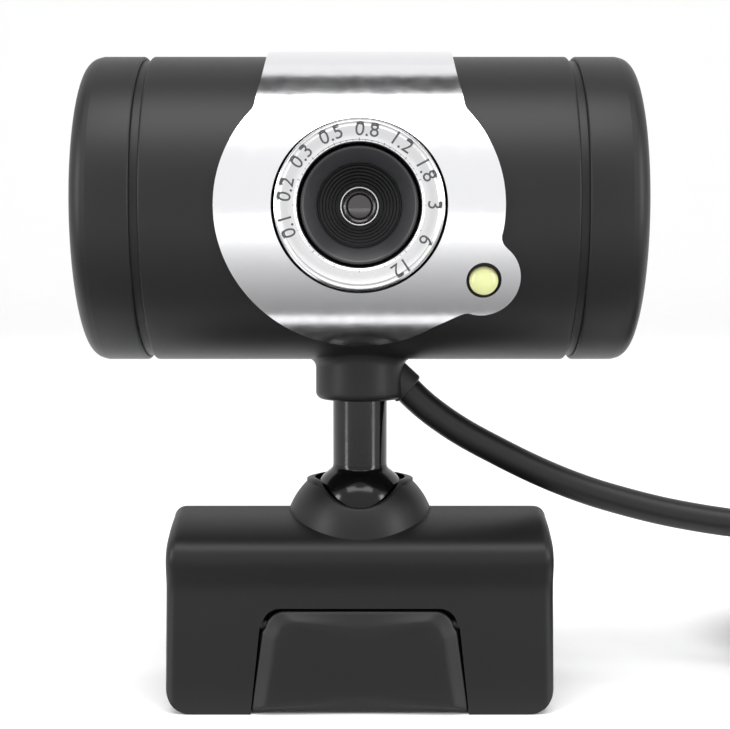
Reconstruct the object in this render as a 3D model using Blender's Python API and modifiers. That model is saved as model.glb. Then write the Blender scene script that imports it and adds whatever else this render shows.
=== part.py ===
"""Webcam on a clip stand: a barrel-shaped camera head that swivels on a stem, whose ball sits in a domed
socket on a wide clip base. Metres, +Z up, the viewer in front at -Y, and the origin on the desk."""

import math

import bmesh
import bpy
from mathutils import Matrix, Vector

# Driving dimensions
GAP = 0.0003
HEAD_Y = 0.0006
AXIS_Z = 0.0573
BARREL_RADIUS = 0.0176
BARREL_WALL = 0.0015
BARREL_HALF = 0.0324
SEAM_X = 0.0240
PLATE_RADIUS = 0.0182
FIELD_RADIUS = 0.01555
RING_FRONT = -0.0188
RING_RADIUS = 0.0092
RING_BORE = 0.0066
LAMP = (0.0134, -0.0080)
HUB_RADIUS = 0.0052
HUB_BOTTOM = 0.0350
STEM_RADIUS = 0.0032
SCREW_X, BOARD_SCREW_X = 0.0213, 0.0172
BALL_RADIUS = 0.0061
BALL_Z = 0.0216
DOME_RADIUS = 0.0090
DOME_Z = 0.0187
SKIRT = 0.0082
SOCKET_SCREW_X = 0.0112
RIM_Z = 0.0257
BASE_HALF = 0.0221
FLAP_TOP = 0.0116
PIN_Z = 0.0099
PIN_Y = -0.0082
CORD_RADIUS = 0.0017
COIL_CENTRE = (0.0725, 0.0196)
COIL_INNER, COIL_OUTER, COIL_HEIGHT = 0.0156, 0.0224, 0.0170
PLUG_X, PLUG_Y, PLUG_Z = 0.0785, -0.0088, 0.0040

COLOURS = {
    "matte_black": ((0.030, 0.030, 0.031), 0.55, 0.0),
    "gloss_black": ((0.012, 0.012, 0.013), 0.15, 0.0),
    "bright_plate": ((0.80, 0.80, 0.82), 0.18, 1.0),
    "machined_ring": ((0.75, 0.75, 0.76), 0.25, 1.0),
    "lens_black": ((0.020, 0.020, 0.021), 0.40, 0.0),
    "glass": ((0.60, 0.62, 0.65), 0.03, 0.0),
    "lamp": ((0.72, 0.74, 0.42), 0.15, 0.0),
    "board_green": ((0.03, 0.20, 0.08), 0.50, 0.0),
    "chip": ((0.02, 0.02, 0.02), 0.45, 0.0),
    "steel": ((0.55, 0.55, 0.56), 0.30, 1.0),
    "rubber": ((0.018, 0.018, 0.018), 0.80, 0.0),
    "white_nylon": ((0.80, 0.79, 0.74), 0.50, 0.0),
}

for old in list(bpy.data.objects):
    bpy.data.objects.remove(old)
parts = bpy.data.collections.new("webcam_on_clip_stand")
cutters = bpy.data.collections.new("cutters")
cutters.hide_render = True
for group in (parts, cutters):
    bpy.context.scene.collection.children.link(group)


def material(name):
    """The Principled material of this name, made once."""
    found = bpy.data.materials.get(name)
    if found is None:
        colour, roughness, metallic = COLOURS[name]
        found = bpy.data.materials.new(name)
        found.use_nodes = True
        shader = found.node_tree.nodes["Principled BSDF"]
        shader.inputs["Base Color"].default_value = (*colour, 1)
        shader.inputs["Roughness"].default_value = roughness
        shader.inputs["Metallic"].default_value = metallic
    return found


def add(name, mesh, finish=None):
    """Puts a mesh in the scene as a part, or as a hidden cutter where it has no finish."""
    obj = bpy.data.objects.new(name, mesh)
    if finish:
        parts.objects.link(obj)
        mesh.materials.append(material(finish))
    else:
        cutters.objects.link(obj)
        obj.hide_render = True
        obj.display_type = "WIRE"
    mesh.shade_smooth()
    return obj


def box(name, low, high, finish=None, bevel=0.0):
    """A box between two corners, with its edges rounded by bevel."""
    bm = bmesh.new()
    bmesh.ops.create_cube(bm, size=1)
    size = [b - a for a, b in zip(low, high)]
    middle = [(a + b) / 2 for a, b in zip(low, high)]
    bm.transform(Matrix.Translation(middle) @ Matrix.Diagonal((*size, 1)))
    mesh = bpy.data.meshes.new(name)
    bm.to_mesh(mesh)
    bm.free()
    obj = add(name, mesh, finish)
    if bevel:
        soften(obj, bevel)
    return obj


def soften(obj, width, segments=2):
    """Rounds an object's sharp edges."""
    bevel = obj.modifiers.new("Bevel", "BEVEL")
    bevel.width = width
    bevel.segments = segments
    bevel.limit_method = "ANGLE"
    bevel.angle_limit = math.radians(40)


def turned(name, profile, finish=None, at=(0, 0, 0), axis="Z", steps=32):
    """A profile of (radius, height) points, top to bottom outside, turned about an axis through at."""
    mesh = bpy.data.meshes.new(name)
    points = [(r, 0, z) for r, z in profile]
    edges = [(i, i + 1) for i in range(len(points) - 1)]
    if profile[0][0] > 0 or profile[-1][0] > 0:
        edges.append((len(points) - 1, 0))
    mesh.from_pydata(points, edges, [])
    obj = add(name, mesh, finish)
    screw = obj.modifiers.new("Screw", "SCREW")
    screw.steps = screw.render_steps = steps
    screw.use_merge_vertices = True
    screw.merge_threshold = 0.00001
    turn = {
        "Z": Matrix.Identity(4),
        "-Y": Matrix.Rotation(math.radians(90), 4, "X"),
        "X": Matrix.Rotation(math.radians(90), 4, "Y"),
    }[axis]
    obj.matrix_world = Matrix.Translation(at) @ turn
    return obj


def rod(name, radius, low, high, finish=None, at=(0, 0, 0), axis="Z", steps=32):
    """A solid cylinder along an axis, from low to high on it."""
    profile = [(0, high), (radius, high), (radius, low), (0, low)]
    return turned(name, profile, finish, at, axis, steps)


def pipe(name, outer, inner, low, high, finish=None, at=(0, 0, 0), axis="Z", steps=32):
    """A cylinder with a bore right through."""
    profile = [(inner, high), (outer, high), (outer, low), (inner, low)]
    return turned(name, profile, finish, at, axis, steps)


def meshed(curve, name, finish=None, place=None):
    """The curve as a mesh object with its caps welded on."""
    guide = bpy.data.objects.new(name + "_curve", curve)
    bpy.context.scene.collection.objects.link(guide)
    graph = bpy.context.evaluated_depsgraph_get()
    mesh = bpy.data.meshes.new_from_object(guide.evaluated_get(graph))
    bm = bmesh.new()
    bm.from_mesh(mesh)
    bmesh.ops.remove_doubles(bm, verts=bm.verts, dist=1e-6)
    bmesh.ops.recalc_face_normals(bm, faces=bm.faces)
    bm.to_mesh(mesh)
    bm.free()
    mesh.materials.clear()
    bpy.data.objects.remove(guide)
    obj = add(name, mesh, finish)
    obj.matrix_world = place or Matrix.Identity(4)
    return obj


FRONT_VIEW = Matrix(((1, 0, 0, 0), (0, 0, -1, 0), (0, 1, 0, 0), (0, 0, 0, 1)))
SIDE_VIEW = Matrix(((0, 0, 1, 0), (1, 0, 0, 0), (0, 1, 0, 0), (0, 0, 0, 1)))


def slab(name, outline, low, high, finish=None, view=FRONT_VIEW):
    """A flat outline given a thickness: drawn in x and z and thick along -y, or in y and z and thick along x."""
    curve = bpy.data.curves.new(name, "CURVE")
    curve.dimensions = "2D"
    curve.fill_mode = "BOTH"
    curve.extrude = (high - low) / 2
    spline = curve.splines.new("POLY")
    spline.points.add(len(outline) - 1)
    for point, (a, b) in zip(spline.points, outline):
        point.co = (a, b, 0, 1)
    spline.use_cyclic_u = True
    return meshed(curve, name, finish, view @ Matrix.Translation((0, 0, (low + high) / 2)))


def arc(centre, radius, start, end, steps=6):
    """Points on an arc, from one angle in degrees to another."""
    angles = [math.radians(start + (end - start) * i / steps) for i in range(steps + 1)]
    return [(centre[0] + radius * math.cos(a), centre[1] + radius * math.sin(a)) for a in angles]


def tube(name, points, radius, finish):
    """A round cord along a list of points."""
    curve = bpy.data.curves.new(name, "CURVE")
    curve.dimensions = "3D"
    curve.bevel_depth = radius
    curve.bevel_resolution = 2
    curve.use_fill_caps = True
    spline = curve.splines.new("POLY")
    spline.points.add(len(points) - 1)
    for point, place in zip(spline.points, points):
        point.co = (*place, 1)
    return meshed(curve, name, finish)


def boolean(obj, other, operation="DIFFERENCE"):
    """Cuts another object from this one, joins it on, or keeps what the two share."""
    step = obj.modifiers.new(operation.title(), "BOOLEAN")
    step.operation = operation
    step.object = other
    step.solver = "EXACT"
    return obj


def joint_empty(name, place):
    """An empty on a joint's axis, which the moving pieces hang on."""
    empty = bpy.data.objects.new(name, None)
    parts.objects.link(empty)
    empty.location = place
    return empty


def hang(empty, *objs):
    """Parents pieces to a joint's empty without moving them."""
    for obj in objs:
        obj.parent = empty
        obj.matrix_parent_inverse = Matrix.Translation(-empty.location)


BARREL = (0, HEAD_Y, AXIS_Z)


def barrel_pieces():
    """The barrel's two half shells, split behind the top, and the two domed end caps."""
    split = HEAD_Y + 0.0025
    reach = 0.03
    top = AXIS_Z + reach
    for name, low_y, high_y in (
        ("barrel_front_shell", -reach, split - GAP / 2),
        ("barrel_rear_shell", split + GAP / 2, reach),
    ):
        half = box(name, (-SEAM_X, low_y, AXIS_Z - reach), (SEAM_X, high_y, top), "matte_black")
        outer = rod(name + "_outer", BARREL_RADIUS, -0.04, 0.04, None, BARREL, "X", 64)
        bore = rod(name + "_bore", BARREL_RADIUS - BARREL_WALL, -0.05, 0.05, None, BARREL, "X", 64)
        boolean(half, outer, "INTERSECT")
        boolean(half, bore)
        neck = rod(name + "_neck", HUB_RADIUS - 0.0008 + GAP, 0.03, 0.05, None, (0, HEAD_Y, 0))
        boolean(half, neck)
    front = bpy.data.objects["barrel_front_shell"]
    boolean(front, rod("lens_opening", RING_RADIUS + 0.0005, -0.03, 0.03, None, (0, -0.02, AXIS_Z), "-Y", 48))
    lamp_at = (LAMP[0], -0.02, AXIS_Z + LAMP[1])
    boolean(front, rod("lamp_opening", 0.0023, -0.015, 0.015, None, lamp_at, "-Y", 24))
    rear = bpy.data.objects["barrel_rear_shell"]
    gap_in_front, wall_inside = -0.0028, BARREL_RADIUS - 0.0008
    for side in (-1, 1):
        place, inner = (side * SCREW_X, HEAD_Y, AXIS_Z), (side * BOARD_SCREW_X, HEAD_Y, AXIS_Z)
        tag = "left" if side < 0 else "right"
        boolean(front, rod("front_post_" + tag, 0.0017, -0.0022, wall_inside, None, place, "-Y", 20), "UNION")
        boolean(front, rod("board_post_" + tag, 0.0016, 0.0034, wall_inside, None, inner, "-Y", 20), "UNION")
        boolean(front, rod("front_post_bore_" + tag, 0.0011, -0.01, 0.0060, None, place, "-Y", 16))
        boolean(front, rod("board_post_bore_" + tag, 0.0012, 0, 0.0110, None, inner, "-Y", 16))
        post = rod("rear_post_" + tag, 0.0018, -wall_inside, gap_in_front, None, place, "-Y", 20)
        boolean(rear, post, "UNION")
        way = [(0, 0), (0.0011, 0), (0.0011, -0.0140), (0.0016, -0.0140), (0.0016, -0.03), (0, -0.03)]
        boolean(rear, turned("rear_screw_way_" + tag, way, None, place, "-Y", 16))
    corner = 0.003
    end = BARREL_HALF
    rim = SEAM_X + 0.0006
    dome = [
        (0, end),
        (0.006, end - 0.0002),
        (0.011, end - 0.0008),
        (0.0145, end - 0.0016),
        (BARREL_RADIUS - 0.0012, end - 0.0026),
        (BARREL_RADIUS - 0.0003, end - 0.0040),
        (BARREL_RADIUS, end - 0.0040 - corner / 2),
    ]
    inside = BARREL_RADIUS - BARREL_WALL
    back = [(BARREL_RADIUS, rim), (inside, rim), (inside, end - 0.0055), (0.011, end - 0.0028), (0, end - 0.0020)]
    shell = dome + back
    for name, side in (("end_cap_right", 1), ("end_cap_left", -1)):
        cap = turned(name, shell, "matte_black", (0, 0, 0), "X", 48)
        turn = Matrix.Rotation(math.radians(90 * side), 4, "Y")
        cap.matrix_world = Matrix.Translation(BARREL) @ turn


def field_outline():
    """The plate's outline seen from the front, about the lens axis: a round field with a lobe for the lamp and a
    tab that runs up over the barrel."""
    tab_side = 0.0102
    radius = FIELD_RADIUS
    top = 0.030
    tab_foot = 47
    points = [(tab_side, top), (tab_side + 0.0002, 0.0160), (tab_side + 0.0006, 0.0131)]
    points += arc((0, 0), radius, tab_foot, -16, 10)
    points += [(radius * math.cos(math.radians(-19)) + 0.0004, radius * math.sin(math.radians(-19)))]
    points += arc((0.01325, -0.0078), 0.0041, 30, -100, 8)
    points += [(0.0112, -0.0121)]
    points += arc((0, 0), radius, -55, -180 - tab_foot, 24)
    points += [(-tab_side - 0.0006, 0.0131), (-tab_side - 0.0002, 0.0160), (-tab_side, top)]
    return points


def face_plate():
    """The bright plate: a thin sleeve round the barrel, kept only inside its front outline."""
    outline = [(x, AXIS_Z + z) for x, z in field_outline()]
    plate = slab("face_plate", outline, -0.0060, 0.030, "bright_plate")
    sleeve = pipe(
        "plate_sleeve", PLATE_RADIUS, BARREL_RADIUS + 0.0001, -0.03, 0.03, None, BARREL, "X", 96
    )
    boolean(plate, sleeve, "INTERSECT")
    boolean(plate, box("behind_top", (-0.03, HEAD_Y + 0.0055, 0), (0.03, 0.03, 0.1)))
    boolean(plate, box("below_front", (-0.03, -0.004, 0), (0.03, 0.03, AXIS_Z)))
    boolean(plate, rod("plate_lens_hole", RING_RADIUS + GAP, -0.02, 0.02, None, (0, -0.02, AXIS_Z), "-Y", 48))
    at = (LAMP[0], -0.02, AXIS_Z + LAMP[1])
    boolean(plate, rod("plate_lamp_hole", 0.0019, -0.015, 0.015, None, at, "-Y", 24))


def lens_pieces():
    """The focus ring, and inside it the bezel, the threaded barrel and the glass. Depths run along -Y."""
    front = -RING_FRONT
    ring = turned(
        "focus_ring",
        [(RING_BORE, front - 0.0002), (RING_RADIUS - 0.0003, front), (RING_RADIUS, front - 0.0003),
         (RING_RADIUS, front - 0.0058), (RING_BORE, front - 0.0058)],
        "machined_ring", BARREL, "-Y", 48,
    )
    bezel = turned(
        "lens_bezel",
        [(0.0045 + GAP, front - 0.0016), (0.0062, front - 0.0004), (0.0063, front - 0.0006),
         (0.0063, front - 0.0056), (0.0050 + GAP, front - 0.0056), (0.0050 + GAP, front - 0.0022)],
        "lens_black", BARREL, "-Y", 40,
    )
    bevel_low = front - 0.0080
    barrel = turned(
        "lens_barrel",
        [(0.0042, front - 0.0018), (0.0045, front - 0.0018), (0.0045, front - 0.0026),
         (0.0050, front - 0.0026), (0.0050, bevel_low), (0.0044, bevel_low - 0.0006),
         (0.0044, front - 0.0120), (0.0028, front - 0.0120), (0.0028, front - 0.0060), (0.0022, front - 0.0054),
         (0.0022, front - 0.0044), (0.0032, front - 0.0036)],
        "lens_black", BARREL, "-Y", 40,
    )
    glass_low = front - 0.0072
    first = turned(
        "front_glass",
        [(0, front - 0.0057), (0.0012, front - 0.0059), (0.0022, front - 0.0064), (0.0025, front - 0.0067),
         (0.0025, glass_low), (0, glass_low)],
        "glass", BARREL, "-Y", 24,
    )
    second = rod("rear_glass", 0.0025, front - 0.0112, front - 0.0100, "glass", BARREL, "-Y", 24)
    hang(joint_empty("focus_turn_axis", BARREL), ring)
    hang(joint_empty("lens_travel_axis", BARREL), bezel, barrel, first, second)


def electronics():
    """The main board across the barrel with the sensor, the lens holder and the other parts on it."""
    face = HEAD_Y - 0.0030
    low, high = (-0.0192, face, AXIS_Z - 0.0115), (0.0192, face + 0.0012, AXIS_Z + 0.0115)
    board = box("main_board", low, high, "board_green")
    for side in (-1, 1):
        place = (side * BOARD_SCREW_X, face, AXIS_Z)
        hole = rod(f"board_hole_{side + 1}", 0.0012, -0.01, 0.01, None, place, "-Y", 16)
        boolean(board, hole)
    box("image_sensor", (-0.0035, face - 0.0013, AXIS_Z - 0.0030), (0.0035, face - GAP, AXIS_Z + 0.0030), "chip")
    low, high = (-0.0070, face - 0.0050, AXIS_Z - 0.0070), (0.0070, face - GAP, AXIS_Z + 0.0070)
    holder = box("lens_holder", low, high, "lens_black")
    at = (0, face, AXIS_Z)
    boolean(holder, rod("holder_tower", 0.0064, 0.0040, 0.0096, None, at, "-Y"), "UNION")
    boolean(holder, rod("holder_bore", 0.0050 + GAP, 0.0030, 0.02, None, at, "-Y", 36))
    low, high = (-0.0060, face - 0.0034, AXIS_Z - 0.0060), (0.0060, face + 0.001, AXIS_Z + 0.0060)
    boolean(holder, box("holder_room", low, high))
    rod("ir_filter", 0.0026, 0.0019, 0.0024, "glass", at, "-Y", 20)
    back = face + 0.0012 + GAP
    box("usb_controller", (-0.0090, back, AXIS_Z - 0.0035), (-0.0020, back + 0.0012, AXIS_Z + 0.0035), "chip")
    box("crystal", (0.0020, back, AXIS_Z + 0.0035), (0.0120, back + 0.0030, AXIS_Z + 0.0070), "steel", 0.0006)
    box("cable_connector", (-0.0040, back, AXIS_Z - 0.0110), (0.0040, back + 0.0042, AXIS_Z - 0.0070), "white_nylon")
    lamp = (LAMP[0], HEAD_Y, AXIS_Z + LAMP[1])
    turned(
        "status_led",
        [(0, 0.0178), (0.0006, 0.0177), (0.0012, 0.0172), (0.0015, 0.0165), (0.0015, 0.0100), (0, 0.0100)],
        "lamp", lamp, "-Y", 24,
    )
    pipe("led_collar", 0.0021, 0.0015 + GAP, 0.0105, 0.0135, "lens_black", lamp, "-Y", 24)
    for side, name in ((-1, "left"), (1, "right")):
        turned(
            "shell_screw_" + name,
            [(0, 0.0040), (0.0008, 0.0040), (0.0008, -0.0137), (0.0013, -0.0143), (0.0013, -0.0152), (0, -0.0152)],
            "steel", (side * SCREW_X, HEAD_Y, AXIS_Z), "-Y", 16,
        )
        turned(
            "board_screw_" + name,
            [(0, 0.0100), (0.0009, 0.0100), (0.0009, 0.0015), (0.0014, 0.0015), (0.0014, 0.0006), (0, 0.0006)],
            "steel", (side * BOARD_SCREW_X, HEAD_Y, AXIS_Z), "-Y", 16,
        )


def neck_pieces():
    """The hub that hangs under the barrel, the swivel screw that keeps the stem in it, and the cord's grommet."""
    foot = (0, HEAD_Y, 0)
    shoulder = AXIS_Z - BARREL_RADIUS - 0.0002
    room = HUB_RADIUS - 0.0008
    inner = 0.0435
    hub = rod("neck_hub", HUB_RADIUS, HUB_BOTTOM, shoulder + 0.004, "matte_black", foot, "Z", 40)
    boolean(hub, rod("hub_saddle", BARREL_RADIUS + GAP, -0.03, 0.03, None, BARREL, "X", 64))
    boolean(hub, rod("hub_core", room, HUB_BOTTOM + 0.002, inner, None, foot, "Z", 40), "UNION")
    boolean(hub, rod("hub_bore", 0.0022 + GAP, 0.03, 0.05, None, foot, "Z", 24))
    start, way = Vector((0.0037, HEAD_Y, 0.0379)), Vector((0.715, 0, -0.70)).normalized()
    aim = way.to_track_quat("Z", "Y").to_matrix().to_4x4()
    seat = rod("grommet_seat", 0.0023, -0.0005, 0.006, None, (0, 0, 0), "Z", 24)
    seat.matrix_world = Matrix.Translation(start) @ aim
    boolean(hub, seat)
    grommet = turned(
        "cord_grommet",
        [(0, 0.0014), (0.0018, 0.0014), (0.0020, 0.0012), (0.0020, -0.0002), (0, -0.0002)],
        "rubber", (0, 0, 0), "Z", 24,
    )
    grommet.matrix_world = Matrix.Translation(start) @ aim
    washer = pipe("swivel_washer", 0.0034, 0.0010, inner + GAP, inner + 0.0009, "steel", foot, "Z", 24)
    screw = turned(
        "swivel_screw",
        [(0, inner + 0.0026), (0.0018, inner + 0.0026), (0.0021, inner + 0.0012), (0.0007, inner + 0.0012),
         (0.0007, inner - 0.0030), (0, inner - 0.0030)],
        "steel", foot, "Z", 16,
    )
    hang(joint_empty("pan_axis", (0, HEAD_Y, BALL_Z)), hub, grommet, washer, screw)


def stem_pieces():
    """The stem with its ball in one moulding, bored at the top for the swivel screw, and the liner round the ball."""
    neck = math.sqrt(BALL_RADIUS**2 - STEM_RADIUS**2)
    start = math.degrees(math.atan2(neck, STEM_RADIUS))
    ball = [(r, BALL_Z + z) for r, z in arc((0, 0), BALL_RADIUS, start, -90, 13)]
    ball[-1] = (0, ball[-1][1])
    profile = [(0.0007 + GAP, 0.0430), (0.0022, 0.0430), (0.0022, HUB_BOTTOM - GAP), (STEM_RADIUS, HUB_BOTTOM - GAP)]
    profile += ball + [(0, 0.0395), (0.0007 + GAP, 0.0395)]
    stem = turned("ball_stem", profile, "gloss_black", (0, HEAD_Y, 0), "Z", 32)
    inner, outer = BALL_RADIUS + 0.0002, BALL_RADIUS + 0.0007
    cup = arc((0, 0), outer, -34, -90, 6)
    hollow = arc((0, 0), inner, -90, -34, 6)
    bowl = [(r if i < 6 else 0, BALL_Z + z) for i, (r, z) in enumerate(cup)]
    bowl += [(r if i else 0, BALL_Z + z) for i, (r, z) in enumerate(hollow)]
    liner = turned("ball_liner", bowl, "white_nylon", (0, HEAD_Y, 0), "Z", 28)
    hang(joint_empty("ball_centre", (0, HEAD_Y, BALL_Z)), stem, liner)


def socket_pieces():
    """The domed socket with its front notch, and the cup that two screws pull up under the ball."""
    foot = (0, HEAD_Y, 0)
    rim_angle = math.degrees(math.asin((RIM_Z - DOME_Z) / DOME_RADIUS))
    outside = [(r, DOME_Z + z) for r, z in arc((0, 0), DOME_RADIUS, rim_angle, 0, 8)]
    hollow = BALL_RADIUS + 0.0002
    top_angle = math.degrees(math.asin((RIM_Z - BALL_Z) / hollow))
    inside = [(r, BALL_Z + z) for r, z in arc((0, 0), hollow, -12, top_angle, 7)]
    profile = outside + [(DOME_RADIUS, 0.0172), (SKIRT, 0.0172), (SKIRT, 0.0202)] + inside
    dome = turned("socket_dome", profile, "matte_black", foot, "Z", 36)
    ears = box("socket_ears", (-0.0128, HEAD_Y - 0.0022, 0.0173), (0.0128, HEAD_Y + 0.0022, 0.0185))
    boolean(dome, ears, "UNION")
    boolean(dome, rod("skirt_room", SKIRT, 0.0150, 0.0201, None, foot, "Z", 36))
    notch = rod("socket_notch", 0.0059, 0, 0.02, None, (0, HEAD_Y, 0.0290), "-Y", 40)
    boolean(dome, notch)
    for side, name in ((-1, "left"), (1, "right")):
        place = (side * SOCKET_SCREW_X, HEAD_Y, 0)
        boolean(dome, rod("ear_hole_" + name, 0.0010, 0.01, 0.0195, None, place, "Z", 16))
        turned(
            "socket_screw_" + name,
            [(0, 0.0204), (0.0007, 0.0204), (0.0007, 0.0170), (0.0014, 0.0170), (0.0014, 0.0161), (0, 0.0161)],
            "steel", place, "Z", 16,
        )
    bowl_outer, bowl_inner = BALL_RADIUS + 0.0012 + GAP, BALL_RADIUS + 0.0007 + 0.0002
    cup = [(r, BALL_Z + z) for r, z in arc((0, 0), bowl_outer + 0.0003, -12, -90, 6)]
    cup[-1] = (0, cup[-1][1])
    bowl = [(r, BALL_Z + z) for r, z in arc((0, 0), bowl_inner, -90, -12, 6)]
    bowl[0] = (0, bowl[0][1])
    turned("socket_cup", cup + bowl, "lens_black", foot, "Z", 28)


def base_profile(inset=0.0):
    """The base seen from its side, in y and z: a sloping roof, a brow, a waist below it and a foot flared outwards."""
    deep = inset
    front = [
        (0.0, 0.02215 - deep), (-0.0050 + deep, 0.02125 - deep), (-0.0085 + deep, 0.0200 - deep),
        (-0.0098 + deep, 0.0190 - deep), (-0.0103 + deep, 0.0178), (-0.0101 + deep, 0.0163),
        (-0.0096 + deep, 0.0148), (-0.0096 + deep, 0.0134), (-0.0099 + deep, 0.0100),
        (-0.0104 + deep, 0.0050), (-0.0109 + deep, 0.0),
    ]
    back = [(-y, z) for y, z in reversed(front)]
    return front + back[:-1]


def flap_outline(grow=0.0):
    """The trapezoid of the clip flap, in x and z, with round upper corners."""
    foot, shoulder, corner = 0.0123 + grow, 0.0108 + grow, 0.0023
    top = FLAP_TOP + grow
    right = arc((shoulder - corner, top - corner), corner, 0, 90, 5)
    return [(foot, -0.001)] + right + [(-x, z) for x, z in reversed(right)] + [(-foot, -0.001)]


def flap_front(height):
    """How far forward the flap's front face stands at a height."""
    edge = FLAP_TOP - PIN_Z
    return PIN_Y - edge - (PIN_Z - height) * 0.0010 / 0.0099


def flap_side(grow=0.0, depth=0.0020):
    """The flap seen from its side: a round hinge edge about the pin, and a plate that leans with the base's front."""
    edge = FLAP_TOP - PIN_Z
    lean = math.degrees(math.atan2(0.0010, 0.0099))
    hinge = arc((PIN_Y, PIN_Z), edge + grow, 180 + lean, -30 if grow else -80, 14)
    front_foot = (-0.0109 - grow, -0.001 if grow else 0.0001)
    back_foot = (front_foot[0] + depth + 2 * grow, front_foot[1])
    if grow:
        hinge.append((hinge[-1][0], PIN_Z - 0.0020))
    return hinge + [back_foot, front_foot]


def base_pieces():
    """The base's shell with its recess and cavity, the bottom cover and its feet."""
    middle = HEAD_Y
    foot, crown = BASE_HALF - 0.003, BASE_HALF - 0.0015
    outline = arc((-foot, 0.003), 0.003, 180, 270) + arc((foot, 0.003), 0.003, 270, 360)
    outline += arc((crown, 0.0212), 0.0015, 0, 90, 3) + arc((-crown, 0.0212), 0.0015, 90, 180, 3)
    shell = slab("base_shell", base_profile(), -0.030, 0.030, "matte_black", SIDE_VIEW)
    face = slab("base_face", outline, -0.02, 0.02)
    boolean(shell, face, "INTERSECT")
    wall = 0.0016
    room = BASE_HALF - wall
    boolean(shell, slab("upper_room", base_profile(wall)[1:-1], -room, room, None, SIDE_VIEW))
    front_block = box("front_block", (-0.0160, -0.0095, 0.0), (0.0160, -0.0048, 0.0132))
    boolean(shell, front_block, "UNION")
    boolean(shell, face, "INTERSECT")
    for side in (-1, 1):
        place, tag = (side * SOCKET_SCREW_X, middle, 0), "left" if side < 0 else "right"
        boolean(shell, rod("roof_post_" + tag, 0.0016, 0.0188, 0.0212, None, place, "Z", 20), "UNION")
        boolean(shell, rod("roof_post_bore_" + tag, 0.0010, 0.0180, 0.0208, None, place, "Z", 16))
    boolean(shell, rod("dome_way", DOME_RADIUS + GAP, 0.0150, 0.04, None, (0, middle, 0), "Z", 40))
    recess = slab("flap_recess", flap_side(GAP, 0.0029), -0.02, 0.02, None, SIDE_VIEW)
    front_face = slab("recess_face", flap_outline(GAP), -0.02, 0.02)
    boolean(recess, front_face, "INTERSECT")
    boolean(shell, recess)
    boolean(shell, rod("pin_way", 0.0006 + GAP / 2, -0.0150, 0.0150, None, (0, PIN_Y, PIN_Z), "X", 16))
    box("base_bottom_cover", (-0.0200, -0.0044, 0.0004), (0.0200, 0.0088, 0.0016), "matte_black")
    for side, name in ((-1, "left"), (1, "right")):
        x = side * 0.0135
        box("foot_strip_" + name, (x - 0.002, -0.003, 0.0), (x + 0.002, 0.0075, 0.0004 - 0.0002), "rubber")


def clip_pieces():
    """The clip flap on its steel pin, with its spring and the two rubber pads."""
    flap = slab("clip_flap", flap_side(), -0.02, 0.02, "matte_black", SIDE_VIEW)
    boolean(flap, slab("flap_face", flap_outline(), -0.02, 0.02), "INTERSECT")
    pin_at = (0, PIN_Y, PIN_Z)
    boolean(flap, rod("flap_bore", 0.0006 + GAP, -0.03, 0.03, None, pin_at, "X", 20))
    low, high = (-0.0026, PIN_Y - 0.0013, PIN_Z - 0.0030), (0.0026, PIN_Y + 0.003, PIN_Z + 0.003)
    boolean(flap, box("spring_room", low, high))
    rod("hinge_pin", 0.0006, -0.0140, 0.0140, "steel", pin_at, "X", 16)
    turns, steps, coil = 3, 9, 0.00095
    angles = [2 * math.pi * i / steps for i in range(turns * steps + 1)]
    wire = [
        (0.0040 * (i / (turns * steps) - 0.5), PIN_Y + coil * math.cos(a), PIN_Z + coil * math.sin(a))
        for i, a in enumerate(angles)
    ]
    tube("clip_spring", wire, 0.0002, "steel")
    near, far = 0.0020 + GAP, 0.0020 + 2 * GAP + 0.0002
    corners = ((0.0065, near), (0.0065, far), (0.0015, far), (0.0015, near))
    outline = [(flap_front(z) + depth, z) for z, depth in corners]
    slab("flap_pad", outline[::-1], -0.0060, 0.0060, "rubber", SIDE_VIEW)


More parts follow.
